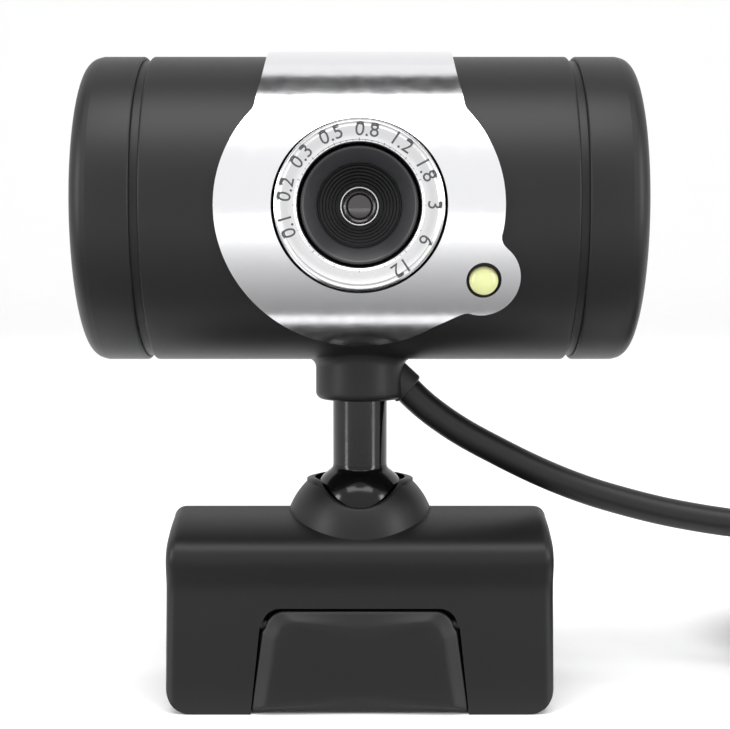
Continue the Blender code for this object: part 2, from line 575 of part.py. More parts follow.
def cord_pieces():
    """The lead from the hub to the coil, the coil with its tie, and the plug that lies beside it."""
    route = [
        Vector((0.0050, HEAD_Y, 0.0367)), Vector((0.0077, HEAD_Y, 0.0340)), Vector((0.0118, HEAD_Y, 0.0311)),
        Vector((0.0163, HEAD_Y, 0.0287)), Vector((0.0211, HEAD_Y, 0.0263)), Vector((0.0265, HEAD_Y, 0.0241)),
        Vector((0.0319, HEAD_Y, 0.0225)), Vector((0.0372, HEAD_Y, 0.0212)), Vector((0.0444, HEAD_Y, 0.0200)),
        Vector((0.0520, HEAD_Y, 0.0193)), Vector((0.0590, HEAD_Y, 0.0190)), Vector((0.0660, HEAD_Y, 0.0190)),
        Vector((COIL_CENTRE[0], HEAD_Y, 0.0190)),
    ]
    smooth = []
    for before, a, b, after in zip(route[:1] + route, route, route[1:], route[2:] + route[-1:]):
        for i in range(2):
            t = i / 2
            bend = (2 * a + (b - before) * t + (2 * before - 5 * a + 4 * b - after) * t * t)
            smooth.append((bend + (3 * a - before - 3 * b + after) * t**3) / 2)
    smooth.append(route[-1])
    tube("cord_lead", smooth, CORD_RADIUS, "rubber")
    centre = (*COIL_CENTRE, 0)
    soft = 0.0012
    coil = turned(
        "cord_coil",
        [(COIL_INNER, COIL_HEIGHT - soft), (COIL_INNER + soft, COIL_HEIGHT), (COIL_OUTER - soft, COIL_HEIGHT),
         (COIL_OUTER, COIL_HEIGHT - soft), (COIL_OUTER, soft), (COIL_OUTER - soft, 0.0),
         (COIL_INNER + soft, 0.0), (COIL_INNER, soft)],
        "rubber", centre, "Z", 48,
    )
    thick, wide = 0.0007, 0.0030
    turn = Matrix.Translation(centre) @ Matrix.Rotation(math.radians(130), 4, "Z")
    half = wide / 2 + GAP
    groove = box("tie_groove", (COIL_INNER - 0.002, -half, -0.001), (COIL_OUTER + 0.002, half, thick + GAP))
    groove.matrix_world = turn
    boolean(coil, groove)
    tie = box(
        "cord_tie",
        (COIL_INNER - GAP - thick, -wide / 2, 0.0), (COIL_OUTER + GAP + thick, wide / 2, COIL_HEIGHT + GAP + thick),
        "rubber",
    )
    hole = box("tie_hole", (COIL_INNER - GAP, -wide, thick), (COIL_OUTER + GAP, wide, COIL_HEIGHT + GAP))
    for obj in (tie, hole):
        obj.matrix_world = turn
    boolean(tie, hole)
    back = [(0.0122, 0.00175), (0.0090, 0.0018), (0.0060, 0.0023), (0.0034, 0.0033), (0.0018, 0.0039)]
    back.append((GAP, PLUG_Z))
    tube("cord_tail", [(PLUG_X - x, PLUG_Y, z) for x, z in back], CORD_RADIUS, "rubber")


def along_plug(start, end, half_width, half_height):
    """The two corners of a box on the plug's axis, from start to end along it."""
    low = (PLUG_X + start, PLUG_Y - half_width, PLUG_Z - half_height)
    high = (PLUG_X + end, PLUG_Y + half_width, PLUG_Z + half_height)
    return low, high


def plug_pieces():
    """The USB plug, lying flat beside the coil: tapered strain relief, body, metal shell and contact tongue."""
    profile = [(0, 0.0088), (0.0031, 0.0088), (0.0019, 0.0), (0, 0.0)]
    turned("plug_strain_relief", profile, "rubber", (PLUG_X, PLUG_Y, PLUG_Z), "X", 20)
    mouth = 0.0300
    body = box("plug_body", *along_plug(0.0090, mouth, 0.0078, PLUG_Z), "matte_black", 0.0012)
    boolean(body, box("plug_seat", *along_plug(mouth - 0.004, mouth + 0.01, 0.0063, 0.0026)))
    shell = box("plug_shell", *along_plug(mouth - 0.0035, mouth + 0.0118, 0.0060, 0.00225), "steel")
    boolean(shell, box("plug_mouth", *along_plug(mouth - 0.0030, mouth + 0.02, 0.0057, 0.00195)))
    low, high = along_plug(mouth - 0.0026, mouth + 0.0110, 0.0054, 0.0016)
    box("plug_contacts", low, (high[0], high[1], PLUG_Z - 0.0001), "white_nylon")


barrel_pieces()
face_plate()
lens_pieces()
electronics()
neck_pieces()
stem_pieces()
socket_pieces()
base_pieces()
clip_pieces()
cord_pieces()
plug_pieces()
bpy.context.view_layer.update()
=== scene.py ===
"""A webcam on a clip stand, dressed round its mechanical frame: moulded black shells, a plated face, a turned
focus ring, the lens, the gloss stem and ball, the clip base, and the cord with its coil and plug."""

import math

import bmesh
import bpy
import numpy as np
from mathutils import Matrix, Vector


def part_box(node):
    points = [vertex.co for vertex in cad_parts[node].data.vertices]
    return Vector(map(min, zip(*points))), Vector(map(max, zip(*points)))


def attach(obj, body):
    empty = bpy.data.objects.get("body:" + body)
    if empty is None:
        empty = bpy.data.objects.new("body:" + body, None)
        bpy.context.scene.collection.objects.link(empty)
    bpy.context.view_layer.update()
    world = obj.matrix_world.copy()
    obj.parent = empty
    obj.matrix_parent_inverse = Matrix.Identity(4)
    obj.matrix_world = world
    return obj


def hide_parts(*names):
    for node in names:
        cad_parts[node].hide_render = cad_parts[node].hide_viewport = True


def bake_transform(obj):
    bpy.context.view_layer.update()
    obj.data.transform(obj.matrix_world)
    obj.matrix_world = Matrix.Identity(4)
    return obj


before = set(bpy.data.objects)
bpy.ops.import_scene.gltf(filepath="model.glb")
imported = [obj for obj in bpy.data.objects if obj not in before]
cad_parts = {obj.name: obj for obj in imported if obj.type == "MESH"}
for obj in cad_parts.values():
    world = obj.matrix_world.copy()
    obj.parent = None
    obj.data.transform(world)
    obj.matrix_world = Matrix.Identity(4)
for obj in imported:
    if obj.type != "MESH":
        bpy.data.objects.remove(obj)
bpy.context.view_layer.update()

bl_info = {
    "name": "Webcam on a clip stand",
    "version": (1, 0, 0),
    "blender": (4, 5, 0),
    "location": "View3D > Sidebar > Webcam",
    "description": "Builds the outer surfaces and finishes of a webcam on its clip stand",
    "category": "Object",
}

# Sizes that come from the frame, in metres
HEAD_Y = (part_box("end_cap_left")[0][1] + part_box("end_cap_left")[1][1]) / 2
AXIS_Z = (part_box("end_cap_left")[0][2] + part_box("end_cap_left")[1][2]) / 2
BARREL_RADIUS = (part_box("end_cap_left")[1][2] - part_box("end_cap_left")[0][2]) / 2
BARREL_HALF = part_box("end_cap_right")[1][0]
SEAM_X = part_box("barrel_front_shell")[1][0]
RING_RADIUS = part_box("focus_ring")[1][0]
RING_FRONT = HEAD_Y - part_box("focus_ring")[0][1]
HUB_RADIUS = -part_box("neck_hub")[0][0]
HUB_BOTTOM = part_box("neck_hub")[0][2]
BALL_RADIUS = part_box("ball_stem")[1][0]
BALL_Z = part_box("ball_stem")[0][2] + BALL_RADIUS
BASE_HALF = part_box("base_shell")[1][0]
LAMP = ((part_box("status_led")[0][0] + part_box("status_led")[1][0]) / 2,
        (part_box("status_led")[0][2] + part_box("status_led")[1][2]) / 2 - AXIS_Z)
COIL_LOW, COIL_HIGH = (np.array(corner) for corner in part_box("cord_coil"))
PLUG_LOW, PLUG_HIGH = (np.array(corner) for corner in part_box("plug_body"))
PLATE_RADIUS, FIELD_RADIUS = 0.0182, 0.01555
STEM_RADIUS, DOME_RADIUS, DOME_Z, RIM_Z = 0.0032, 0.0090, 0.0187, 0.0257
FLAP_TOP, PIN_Y, PIN_Z = 0.0116, -0.0082, 0.0099
CORD_RADIUS = 0.0017
TAU = 2 * math.pi


class WebcamSizes(bpy.types.PropertyGroup):
    """Sizes of the details that a maker may change."""

    grain: bpy.props.FloatProperty(
        name="Moulding grain", description="Width of one grain of the spark-eroded mould texture",
        default=0.00022, min=0.00005, max=0.001, unit="LENGTH",
    )
    groove_depth: bpy.props.FloatProperty(
        name="Seam depth", description="How deep the seams beside the end caps are",
        default=0.00045, min=0.0001, max=0.001, unit="LENGTH",
    )
    camera_distance: bpy.props.FloatProperty(
        name="Camera distance", description="Distance from the camera to the barrel's axis",
        default=0.1856, min=0.05, max=2.0, unit="LENGTH",
    )


def srgb(code):
    """A hex colour as the linear values that the shaders take."""
    values = [int(code[i : i + 2], 16) / 255 for i in (1, 3, 5)]
    return [v / 12.92 if v <= 0.04045 else ((v + 0.055) / 1.055) ** 2.4 for v in values]


def colour_property(name, description, code):
    """A colour setting with its default from a hex code."""
    return bpy.props.FloatVectorProperty(
        name=name, description=description, subtype="COLOR", size=3, min=0, max=1, default=srgb(code)
    )


class WebcamColours(bpy.types.PropertyGroup):
    """Colours of the finishes."""

    shell: colour_property("Shell", "Moulded black of the barrel and base", "#121213")
    gloss: colour_property("Gloss", "Polished black of the stem and ball", "#070708")
    plate: colour_property("Plate", "Plated face", "#EFEFF1")
    ring: colour_property("Ring", "Turned focus ring", "#DCDCDD")
    lamp: colour_property("Lamp", "Lens of the status lamp", "#B9BC86")
    cord: colour_property("Cord", "Sheath of the cord", "#121112")
    floor: colour_property("Floor", "The studio floor", "#F4F4F4")


# ---- surfaces ----


def mesh_object(name, points, faces, material=None):
    """A mesh object from arrays of points and quads, with doubles merged and its faces pointing out."""
    mesh = bpy.data.meshes.new(name)
    mesh.from_pydata(np.asarray(points).reshape(-1, 3), [], np.asarray(faces).reshape(-1, 4))
    bm = bmesh.new()
    bm.from_mesh(mesh)
    bmesh.ops.remove_doubles(bm, verts=bm.verts, dist=1e-7)
    bmesh.ops.dissolve_degenerate(bm, edges=bm.edges, dist=1e-8)
    bmesh.ops.recalc_face_normals(bm, faces=bm.faces)
    bm.to_mesh(mesh)
    bm.free()
    mesh.shade_smooth()
    obj = bpy.data.objects.new(name, mesh)
    bpy.context.scene.collection.objects.link(obj)
    if material:
        mesh.materials.append(material)
    return obj


def grid(name, points, material=None, loop_u=False, loop_v=False, keep=None):
    """A surface over a grid of points P[u, v]: each cell is one quad, and u or v may close on itself.
    keep, if given, is a mask of the cells that stay."""
    rows, columns = points.shape[:2]
    index = np.arange(rows * columns).reshape(rows, columns)
    if loop_u:
        index = np.vstack([index, index[:1]])
    if loop_v:
        index = np.hstack([index, index[:, :1]])
    quads = np.stack([index[:-1, :-1], index[1:, :-1], index[1:, 1:], index[:-1, 1:]], axis=-1)
    if keep is not None:
        quads = quads[keep]
    return mesh_object(name, points, quads, material)


def rounded(corners, radius, steps=5):
    """A polyline with each inner corner replaced by a quadratic curve between points radius away from it."""
    corners = [np.array(c, float) for c in corners]
    out = [corners[0]]
    for before, corner, after in zip(corners, corners[1:], corners[2:]):
        a, b = before - corner, after - corner
        reach_a = min(radius, 0.45 * np.linalg.norm(a))
        reach_b = min(radius, 0.45 * np.linalg.norm(b))
        start, end = corner + a / np.linalg.norm(a) * reach_a, corner + b / np.linalg.norm(b) * reach_b
        t = np.linspace(0, 1, steps)[:, None]
        out.extend((1 - t) ** 2 * start + 2 * t * (1 - t) * corner + t**2 * end)
    out.append(corners[-1])
    return np.array(out)


AXES = {
    "Z": np.array(((1, 0, 0), (0, 1, 0), (0, 0, 1)), float),
    "-Y": np.array(((1, 0, 0), (0, 0, 1), (0, -1, 0)), float),
    "X": np.array(((0, 1, 0), (0, 0, 1), (1, 0, 0)), float),
}


def revolve(name, profile, centre, axis="Z", material=None, steps=96, closed=False):
    """A profile of (radius, height) turned a full circle: each point goes to radius times the cosine and
    sine of the turn, at its own height on the axis. A closed profile joins its last point to its first."""
    profile = np.asarray(profile, float)
    turn = np.linspace(0, TAU, steps, endpoint=False)
    radius, height = profile[:, 0][:, None], profile[:, 1][:, None]
    local = np.stack([radius * np.cos(turn), radius * np.sin(turn), height + 0 * turn], axis=-1)
    points = local @ AXES[axis] + np.array(centre)
    return grid(name, points, material, loop_u=closed, loop_v=True)


def finished(obj):
    """Replaces an object's mesh by the one its modifiers make."""
    graph = bpy.context.evaluated_depsgraph_get()
    mesh = bpy.data.meshes.new_from_object(obj.evaluated_get(graph))
    obj.modifiers.clear()
    obj.data = mesh
    return obj


def carve(obj, cutter, operation="DIFFERENCE"):
    """Cuts one closed mesh from another and removes the cutter."""
    step = obj.modifiers.new("Carve", "BOOLEAN")
    step.operation = operation
    step.object = cutter
    step.solver = "EXACT"
    finished(obj)
    bpy.data.objects.remove(cutter)
    return obj


def edge_round(obj, width, segments=3, angle=35):
    """Rounds an object's sharp edges and keeps its broad faces shaded as they were."""
    bevel = obj.modifiers.new("Edges", "BEVEL")
    bevel.width = width
    bevel.segments = segments
    bevel.limit_method = "ANGLE"
    bevel.angle_limit = math.radians(angle)
    bevel.harden_normals = True
    obj.data.set_sharp_from_angle(angle=math.radians(angle))
    return finished(obj)


def thicken(obj, depth):
    """Gives an open surface a wall inwards."""
    wall = obj.modifiers.new("Wall", "SOLIDIFY")
    wall.thickness = depth
    wall.offset = -1
    wall.use_even_offset = True
    return finished(obj)


def wear(obj, body, slot, *nodes):
    """Makes a piece ride on its body and stand for CAD nodes; its slot is not used."""
    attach(obj, body)
    if nodes:
        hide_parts(*nodes)
    return obj


# ---- materials ----


def add_node(tree, kind, settings=None, **links):
    """Adds one node, sets its properties and inputs, and links sockets given as inputs."""
    node = tree.nodes.new(kind)
    for key, value in (settings or {}).items():
        if hasattr(node, key):
            setattr(node, key, value)
        else:
            node.inputs[key].default_value = value
    for key, socket in links.items():
        tree.links.new(socket, node.inputs[key.replace("_", " ")])
    return node


def new_material(name, colour, roughness, metallic=0.0, **more):
    """A Principled material with its fixed numbers set on the shader's own sockets."""
    made = bpy.data.materials.new(name)
    made.use_nodes = True
    shader = made.node_tree.nodes["Principled BSDF"]
    shader.inputs["Base Color"].default_value = (*colour, 1)
    shader.inputs["Roughness"].default_value = roughness
    shader.inputs["Metallic"].default_value = metallic
    for key, value in more.items():
        shader.inputs[key.replace("_", " ")].default_value = value
    return made, made.node_tree, shader


def grained(name, colour, roughness, grain, depth=0.06, shift=0.12, **more):
    """A moulded plastic: fine grain in the surface, and broad faint changes of tone and polish."""
    made, tree, shader = new_material(name, colour, roughness, **more)
    place = add_node(tree, "ShaderNodeTexCoord").outputs["Object"]
    fine = add_node(tree, "ShaderNodeTexNoise", {"Scale": 1 / grain, "Detail": 2.0}, Vector=place)
    broad = add_node(tree, "ShaderNodeTexNoise", {"Scale": 60.0, "Detail": 3.0}, Vector=place)
    span = {"To Min": 1 - shift, "To Max": 1 + shift}
    tone = add_node(tree, "ShaderNodeMapRange", span, Value=broad.outputs["Fac"])
    tint = add_node(tree, "ShaderNodeVectorMath", {"operation": "SCALE"})
    tint.inputs[0].default_value = colour
    tree.links.new(tone.outputs[0], tint.inputs["Scale"])
    tree.links.new(tint.outputs[0], shader.inputs["Base Color"])
    span = {"To Min": roughness - 0.05, "To Max": roughness + 0.05}
    polish = add_node(tree, "ShaderNodeMapRange", span, Value=fine.outputs["Fac"])
    tree.links.new(polish.outputs[0], shader.inputs["Roughness"])
    relief = {"Strength": depth, "Distance": grain / 4}
    bump = add_node(tree, "ShaderNodeBump", relief, Height=fine.outputs["Fac"])
    tree.links.new(bump.outputs[0], shader.inputs["Normal"])
    return made


def turned_metal(name, colour, roughness, centre, line):
    """A face-turned metal: fine rings about the lens axis from the tool, in polish and in height."""
    made, tree, shader = new_material(name, colour, roughness, 1.0)
    place = add_node(tree, "ShaderNodeTexCoord").outputs["Object"]
    moved = add_node(tree, "ShaderNodeVectorMath", {"operation": "SUBTRACT"})
    tree.links.new(place, moved.inputs[0])
    moved.inputs[1].default_value = centre
    pattern = {"wave_type": "RINGS", "rings_direction": "Y", "Scale": 0.05 / line}
    pattern.update({"Distortion": 0.6, "Detail": 2.0})
    rings = add_node(tree, "ShaderNodeTexWave", pattern, Vector=moved.outputs[0])
    span = {"To Min": roughness - 0.08, "To Max": roughness + 0.10}
    polish = add_node(tree, "ShaderNodeMapRange", span, Value=rings.outputs["Fac"])
    tree.links.new(polish.outputs[0], shader.inputs["Roughness"])
    relief = {"Strength": 0.12, "Distance": line / 3}
    bump = add_node(tree, "ShaderNodeBump", relief, Height=rings.outputs["Fac"])
    tree.links.new(bump.outputs[0], shader.inputs["Normal"])
    return made


FINISH = {}


def make_finishes(sizes, colours):
    """Every finish of the object, each from what the real one is and how its surface was made."""
    # The real blacks look darker than these IORs alone give, so the specular level is lowered
    dull = {"IOR": 1.54, "Specular_IOR_Level": 0.28}
    gloss = {"IOR": 1.54, "Specular_IOR_Level": 0.30}
    sheath = {"IOR": 1.53, "Specular_IOR_Level": 0.34}
    baffle = {"IOR": 1.5, "Specular_IOR_Level": 0.25}
    coated = {"IOR": 1.62, "Coat_Weight": 1.0}
    # ABS moulded in a spark-eroded tool: a soft broad shine with a fine even grain
    FINISH["shell"] = grained("moulded_abs_matte", tuple(colours.shell), 0.44, sizes.grain, **dull)
    # ABS from a polished tool, as on the stem and ball: sharp highlights
    coarse = sizes.grain * 4
    FINISH["gloss"] = grained("polished_abs", tuple(colours.gloss), 0.14, coarse, 0.02, 0.05, **gloss)
    # Satin chrome plate on a moulding: it mirrors the room softly, with a very slight orange peel
    plate = tuple(colours.plate)
    FINISH["plate"] = grained("satin_chrome_plate", plate, 0.17, 0.0016, 0.03, 0.015, Metallic=1.0)
    # Aluminium turned on a lathe, with the tool's rings 0.25 mm apart, coarser than real so that they show
    FINISH["ring"] = turned_metal(
        "turned_aluminium", tuple(colours.ring), 0.22, (0, HEAD_Y - RING_FRONT, AXIS_Z), 0.00025
    )
    # Black anodised and moulded parts round the lens, kept dull against stray light
    FINISH["lens"] = grained("anodised_black", srgb("#232325"), 0.34, 0.00012, 0.05, 0.1, IOR=1.5)
    FINISH["tunnel"] = grained("baffle_black", srgb("#080809"), 0.5, 0.00012, 0.05, 0.1, **baffle)
    # Coated optical glass over a dark barrel: a tight violet-tinted reflection
    FINISH["glass"] = grained("coated_glass", srgb("#1A1012"), 0.03, 0.002, 0.0, 0.2, **coated)
    # Clear epoxy of a lamp, faintly yellow, seen as a milky body with a sharp shine
    FINISH["lamp"] = grained("lamp_epoxy", tuple(colours.lamp), 0.12, 0.0009, 0.03, 0.06, IOR=1.5)
    FINISH["dark"] = grained("shadow_gap_black", srgb("#0A0A0A"), 0.6, 0.0003)
    FINISH["ink"] = grained("engraved_grey", srgb("#3C3C3F"), 0.5, 0.0002, 0.05, 0.1)
    # PVC sheath: satin, with a slight drag from the extruder along it
    FINISH["cord"] = grained("pvc_sheath", tuple(colours.cord), 0.40, 0.0004, 0.08, 0.12, **sheath)
    FINISH["rubber"] = grained("moulded_rubber", srgb("#1B1B1B"), 0.62, 0.0003, 0.12)
    FINISH["steel"] = grained("zinc_plated_steel", srgb("#A9ABAD"), 0.3, 0.0005, 0.05, 0.06, Metallic=1.0)
    FINISH["board"] = grained("solder_mask_green", srgb("#0F4A24"), 0.4, 0.0008, 0.08)
    FINISH["chip"] = grained("epoxy_package", srgb("#18181A"), 0.5, 0.0002)
    FINISH["nylon"] = grained("natural_nylon", srgb("#D9D5C6"), 0.5, 0.0004, 0.05, 0.04)


# ---- shapes that several pieces share ----


def softened(points, rounds=3, closed=False):
    """Cuts each corner of a line at its quarters, again and again, so that it ends as a smooth curve."""
    line = np.asarray(points, float)
    for _ in range(rounds):
        after = np.roll(line, -1, axis=0) if closed else line[1:]
        before = line if closed else line[:-1]
        cut = np.stack([0.75 * before + 0.25 * after, 0.25 * before + 0.75 * after], axis=1)
        cut = cut.reshape(-1, line.shape[1])
        line = cut if closed else np.vstack([line[:1], cut, line[-1:]])
    return line


def spaced(line, count):
    """A line's points spaced evenly along it."""
    along = np.concatenate([[0], np.cumsum(np.linalg.norm(np.diff(line, axis=0), axis=1))])
    at = np.linspace(0, along[-1], count)
    return np.stack([np.interp(at, along, line[:, k]) for k in range(line.shape[1])], axis=1)


def arc(centre, radius, start, end, steps=16):
    """Points on an arc between two angles in degrees."""
    angle = np.radians(np.linspace(start, end, steps))
    return np.stack([centre[0] + radius * np.cos(angle), centre[1] + radius * np.sin(angle)], axis=1)


def smooth(t):
    """Goes from 0 to 1 with no slope at either end."""
    t = np.clip(t, 0, 1)
    return t * t * (3 - 2 * t)


def prism(name, outline, low, high):
    """A closed prism over an outline in x and z, from low to high in y, used as a cutter."""
    outline = np.asarray(outline, float)
    bm = bmesh.new()
    rings = [[bm.verts.new((x, y, z)) for x, z in outline] for y in (low, high)]
    bm.faces.new(rings[0])
    bm.faces.new(rings[1])
    for i in range(len(outline)):
        j = (i + 1) % len(outline)
        bm.faces.new((rings[0][i], rings[0][j], rings[1][j], rings[1][i]))
    bmesh.ops.recalc_face_normals(bm, faces=bm.faces)
    mesh = bpy.data.meshes.new(name)
    bm.to_mesh(mesh)
    bm.free()
    obj = bpy.data.objects.new(name, mesh)
    bpy.context.scene.collection.objects.link(obj)
    return obj


def block(name, low, high, radius, material):
    """A box with round edges: a grid over a sphere's angles, pushed out to a rounded box by its signs."""
    low, high = np.array(low, float), np.array(high, float)
    middle, half = (low + high) / 2, (high - low) / 2 - radius
    across = np.linspace(0, TAU, 32, endpoint=False) + TAU / 64
    up = np.linspace(-math.pi / 2, math.pi / 2, 18)
    x, y = (np.outer(np.cos(up), way) for way in (np.cos(across), np.sin(across)))
    ball = np.stack([x, y, np.outer(np.sin(up), 0 * across + 1)], axis=-1)
    points = middle + ball * radius + np.sign(ball) * half
    flat_low, flat_high = points[:1].copy(), points[-1:].copy()
    flat_low[..., :2], flat_high[..., :2] = middle[:2], middle[:2]
    return grid(name, np.concatenate([flat_low, points, flat_high]), material, loop_v=True)


def tube(name, line, radius, material, steps=16):
    """A circle carried along a line: at each point it lies across the path, one direction level and the
    other square to it, and both ends close on their middle."""
    line = np.asarray(line, float)
    way = np.gradient(line, axis=0)
    way /= np.linalg.norm(way, axis=1)[:, None]
    up = np.array((0.0, 0.0, 1.0))
    side = np.cross(way, up)
    side /= np.linalg.norm(side, axis=1)[:, None]
    rise = np.cross(side, way)
    turn = np.linspace(0, TAU, steps, endpoint=False)
    ring = np.cos(turn)[None, :, None] * side[:, None] + np.sin(turn)[None, :, None] * rise[:, None]
    points = line[:, None] + radius * ring
    ends = [np.repeat(line[i][None, None], steps, axis=1) for i in (0, -1)]
    return grid(name, np.concatenate([ends[0], points, ends[1]]), material, loop_v=True)


HEAD_CENTRE = (0, HEAD_Y, AXIS_Z)
FOOT = (0, HEAD_Y, 0)


# ---- the head ----


def make_barrel(sizes):
    """The barrel's skins. A point goes to the radius at its x, times the cosine and sine of its turn about
    the axis; the radius falls away into the seams at each skin's ends and at the caps' corners."""
    deep = sizes.groove_depth
    roll = 0.00028
    edge = SEAM_X - 0.00025
    bend = arc((edge - roll, BARREL_RADIUS - roll), roll, 90, 0, 7)
    right = np.vstack([[(x, BARREL_RADIUS) for x in np.linspace(0, edge - roll, 24)[:-1]], bend,
                       [(edge, BARREL_RADIUS - deep * 2)]])
    rows = np.vstack([right[:0:-1] * (-1, 1), right])
    split = math.acos(-0.0025 / BARREL_RADIUS)
    seam_turn = 0.0035
    spans = {
        "barrel_front_skin": (-split + seam_turn, split - seam_turn, 120, "barrel_front_shell"),
        "barrel_rear_skin": (split + seam_turn, TAU - split - seam_turn, 100, "barrel_rear_shell"),
    }
    for name, (start, end, count, node) in spans.items():
        turn = np.linspace(start, end, count)
        x, radius = rows[:, 0][:, None], rows[:, 1][:, None]
        points = np.stack(
            [x + 0 * turn, HEAD_Y - radius * np.cos(turn), AXIS_Z + radius * np.sin(turn)], axis=-1
        )
        middle = (points[:-1, :-1] + points[1:, 1:]) / 2
        lens_way = np.hypot(middle[..., 0], middle[..., 2] - AXIS_Z) < 0.0108
        keep = ~(lens_way & (middle[..., 1] < HEAD_Y))
        skin = grid(name, points, FINISH["shell"], keep=keep)
        thicken(skin, 0.0009)
        wear(skin, "head", "matte_black", node)
    dome = [(0, 0), (5, -0.1), (10, -0.4), (14.2, -0.8), (15.8, -1.1), (16.8, -1.5), (17.4, -2.2)]
    dome.append((17.6, -3.1))
    dome = softened([(r / 17.6 * BARREL_RADIUS, BARREL_HALF + x / 1000) for r, x in dome], 3)
    rim = SEAM_X + 0.00062
    bend = arc((BARREL_RADIUS - roll, rim + roll), roll, 0, -90, 7)
    profile = np.vstack([dome, bend, [(BARREL_RADIUS - 0.0012, rim)]])
    for side, tag in ((1, "right"), (-1, "left")):
        cap = revolve(f"end_cap_{tag}_skin", profile * (1, side), HEAD_CENTRE, "X", FINISH["shell"], 128)
        thicken(cap, 0.0009)
        wear(cap, "head", "matte_black", f"end_cap_{tag}")
        inner = BARREL_RADIUS - deep
        band = [(inner, side * (edge - 0.0006)), (inner, side * (rim + 0.0006))]
        ring = revolve(f"seam_band_{tag}", band, HEAD_CENTRE, "X", FINISH["shell"], 128)
        wear(ring, "head", "matte_black")


def plate_outline():
    """The plate's edge, unrolled: x, and the arc length up from the lens axis. A round field, a lobe for the
    lamp, and a tab over the top, joined by small concave curves."""
    back_edge = PLATE_RADIUS * math.radians(107)

    def unrolled(points):
        points = np.array(points, float)
        points[:, 1] = PLATE_RADIUS * np.arcsin(np.clip(points[:, 1] / PLATE_RADIUS, -1, 1))
        return points

    tab = 0.0102
    right_tab = unrolled([(tab + 0.00035, 0.0155), (tab + 0.0007, 0.0133), (tab + 0.0010, 0.0122)])
    right_field = unrolled(arc((0, 0), FIELD_RADIUS, 43, -10, 16))
    lobe = unrolled(arc((0.01325, -0.0078), 0.0041, 42, -112, 26))
    neck = unrolled([(0.01512, -0.0034), (0.01535, -0.0042)])
    below = unrolled([(0.0106, -0.01205), (0.0097, -0.0125)])
    left_field = unrolled(arc((0, 0), FIELD_RADIUS, -58, -223, 60))
    top_right = np.array([(tab - 0.0008, back_edge), (tab, back_edge - 0.0008), (tab + 0.0002, 0.0250)])
    right = [top_right, right_tab, right_field, neck, lobe, below]
    left = [left_field, right_tab[::-1] * (-1, 1), top_right[::-1] * (-1, 1)]
    return softened(np.vstack(right + left), 2, closed=True)


def make_plate():
    """The bright plate: rays from the lens opening's edge out to the plate's outline, on the unrolled barrel
    and then wrapped round it, with a wall, a hole for the lamp and softly rounded edges."""
    outline = plate_outline()
    outline = spaced(np.vstack([outline, outline[:1]]), 361)[:-1]
    hole = RING_RADIUS + 0.00022
    angle = np.arctan2(outline[:, 1], outline[:, 0])
    rise = PLATE_RADIUS * np.arcsin(hole * np.sin(angle) / PLATE_RADIUS)
    inner = np.stack([hole * np.cos(angle), rise], axis=1)
    share = np.linspace(0, 1, 30)[:, None, None]
    flat = inner * (1 - share) + outline * share
    turn = flat[..., 1] / PLATE_RADIUS
    points = np.stack(
        [flat[..., 0], HEAD_Y - PLATE_RADIUS * np.cos(turn), AXIS_Z + PLATE_RADIUS * np.sin(turn)], axis=-1
    )
    plate = grid("face_plate_skin", points, FINISH["plate"], loop_v=True)
    thicken(plate, 0.00052)
    bore = [(0, 0.03), (0.0019, 0.03), (0.0019, 0), (0, 0)]
    well = revolve("lamp_way", bore, (LAMP[0], HEAD_Y, AXIS_Z + LAMP[1]), "-Y", None, 48)
    carve(plate, well)
    edge_round(plate, 0.00014, 3, 50)
    wear(plate, "head", "bright_plate", "face_plate")


def make_lamp():
    """The status lamp: a clear domed body, in a dark well with a thin collar."""
    at = (LAMP[0], HEAD_Y, AXIS_Z + LAMP[1])
    surface = math.sqrt(PLATE_RADIUS**2 - LAMP[1] ** 2)
    radius = 0.00158
    dome = arc((0, surface - 0.0003), radius, 90, 0, 14) * (1, 0.55) + (0, 0.45 * (surface - 0.0003))
    profile = np.vstack([dome, [(radius, surface - 0.003)]])
    body = revolve("status_lamp", profile, at, "-Y", FINISH["lamp"], 48)
    wear(body, "head", "lamp", "status_led")
    lip = surface - 0.0014
    collar = [(radius + 0.00003, lip), (radius + 0.00034, lip), (radius + 0.00034, surface - 0.003)]
    well = revolve("lamp_collar", collar, at, "-Y", FINISH["dark"], 48)
    wear(well, "head", "lens_black", "led_collar")


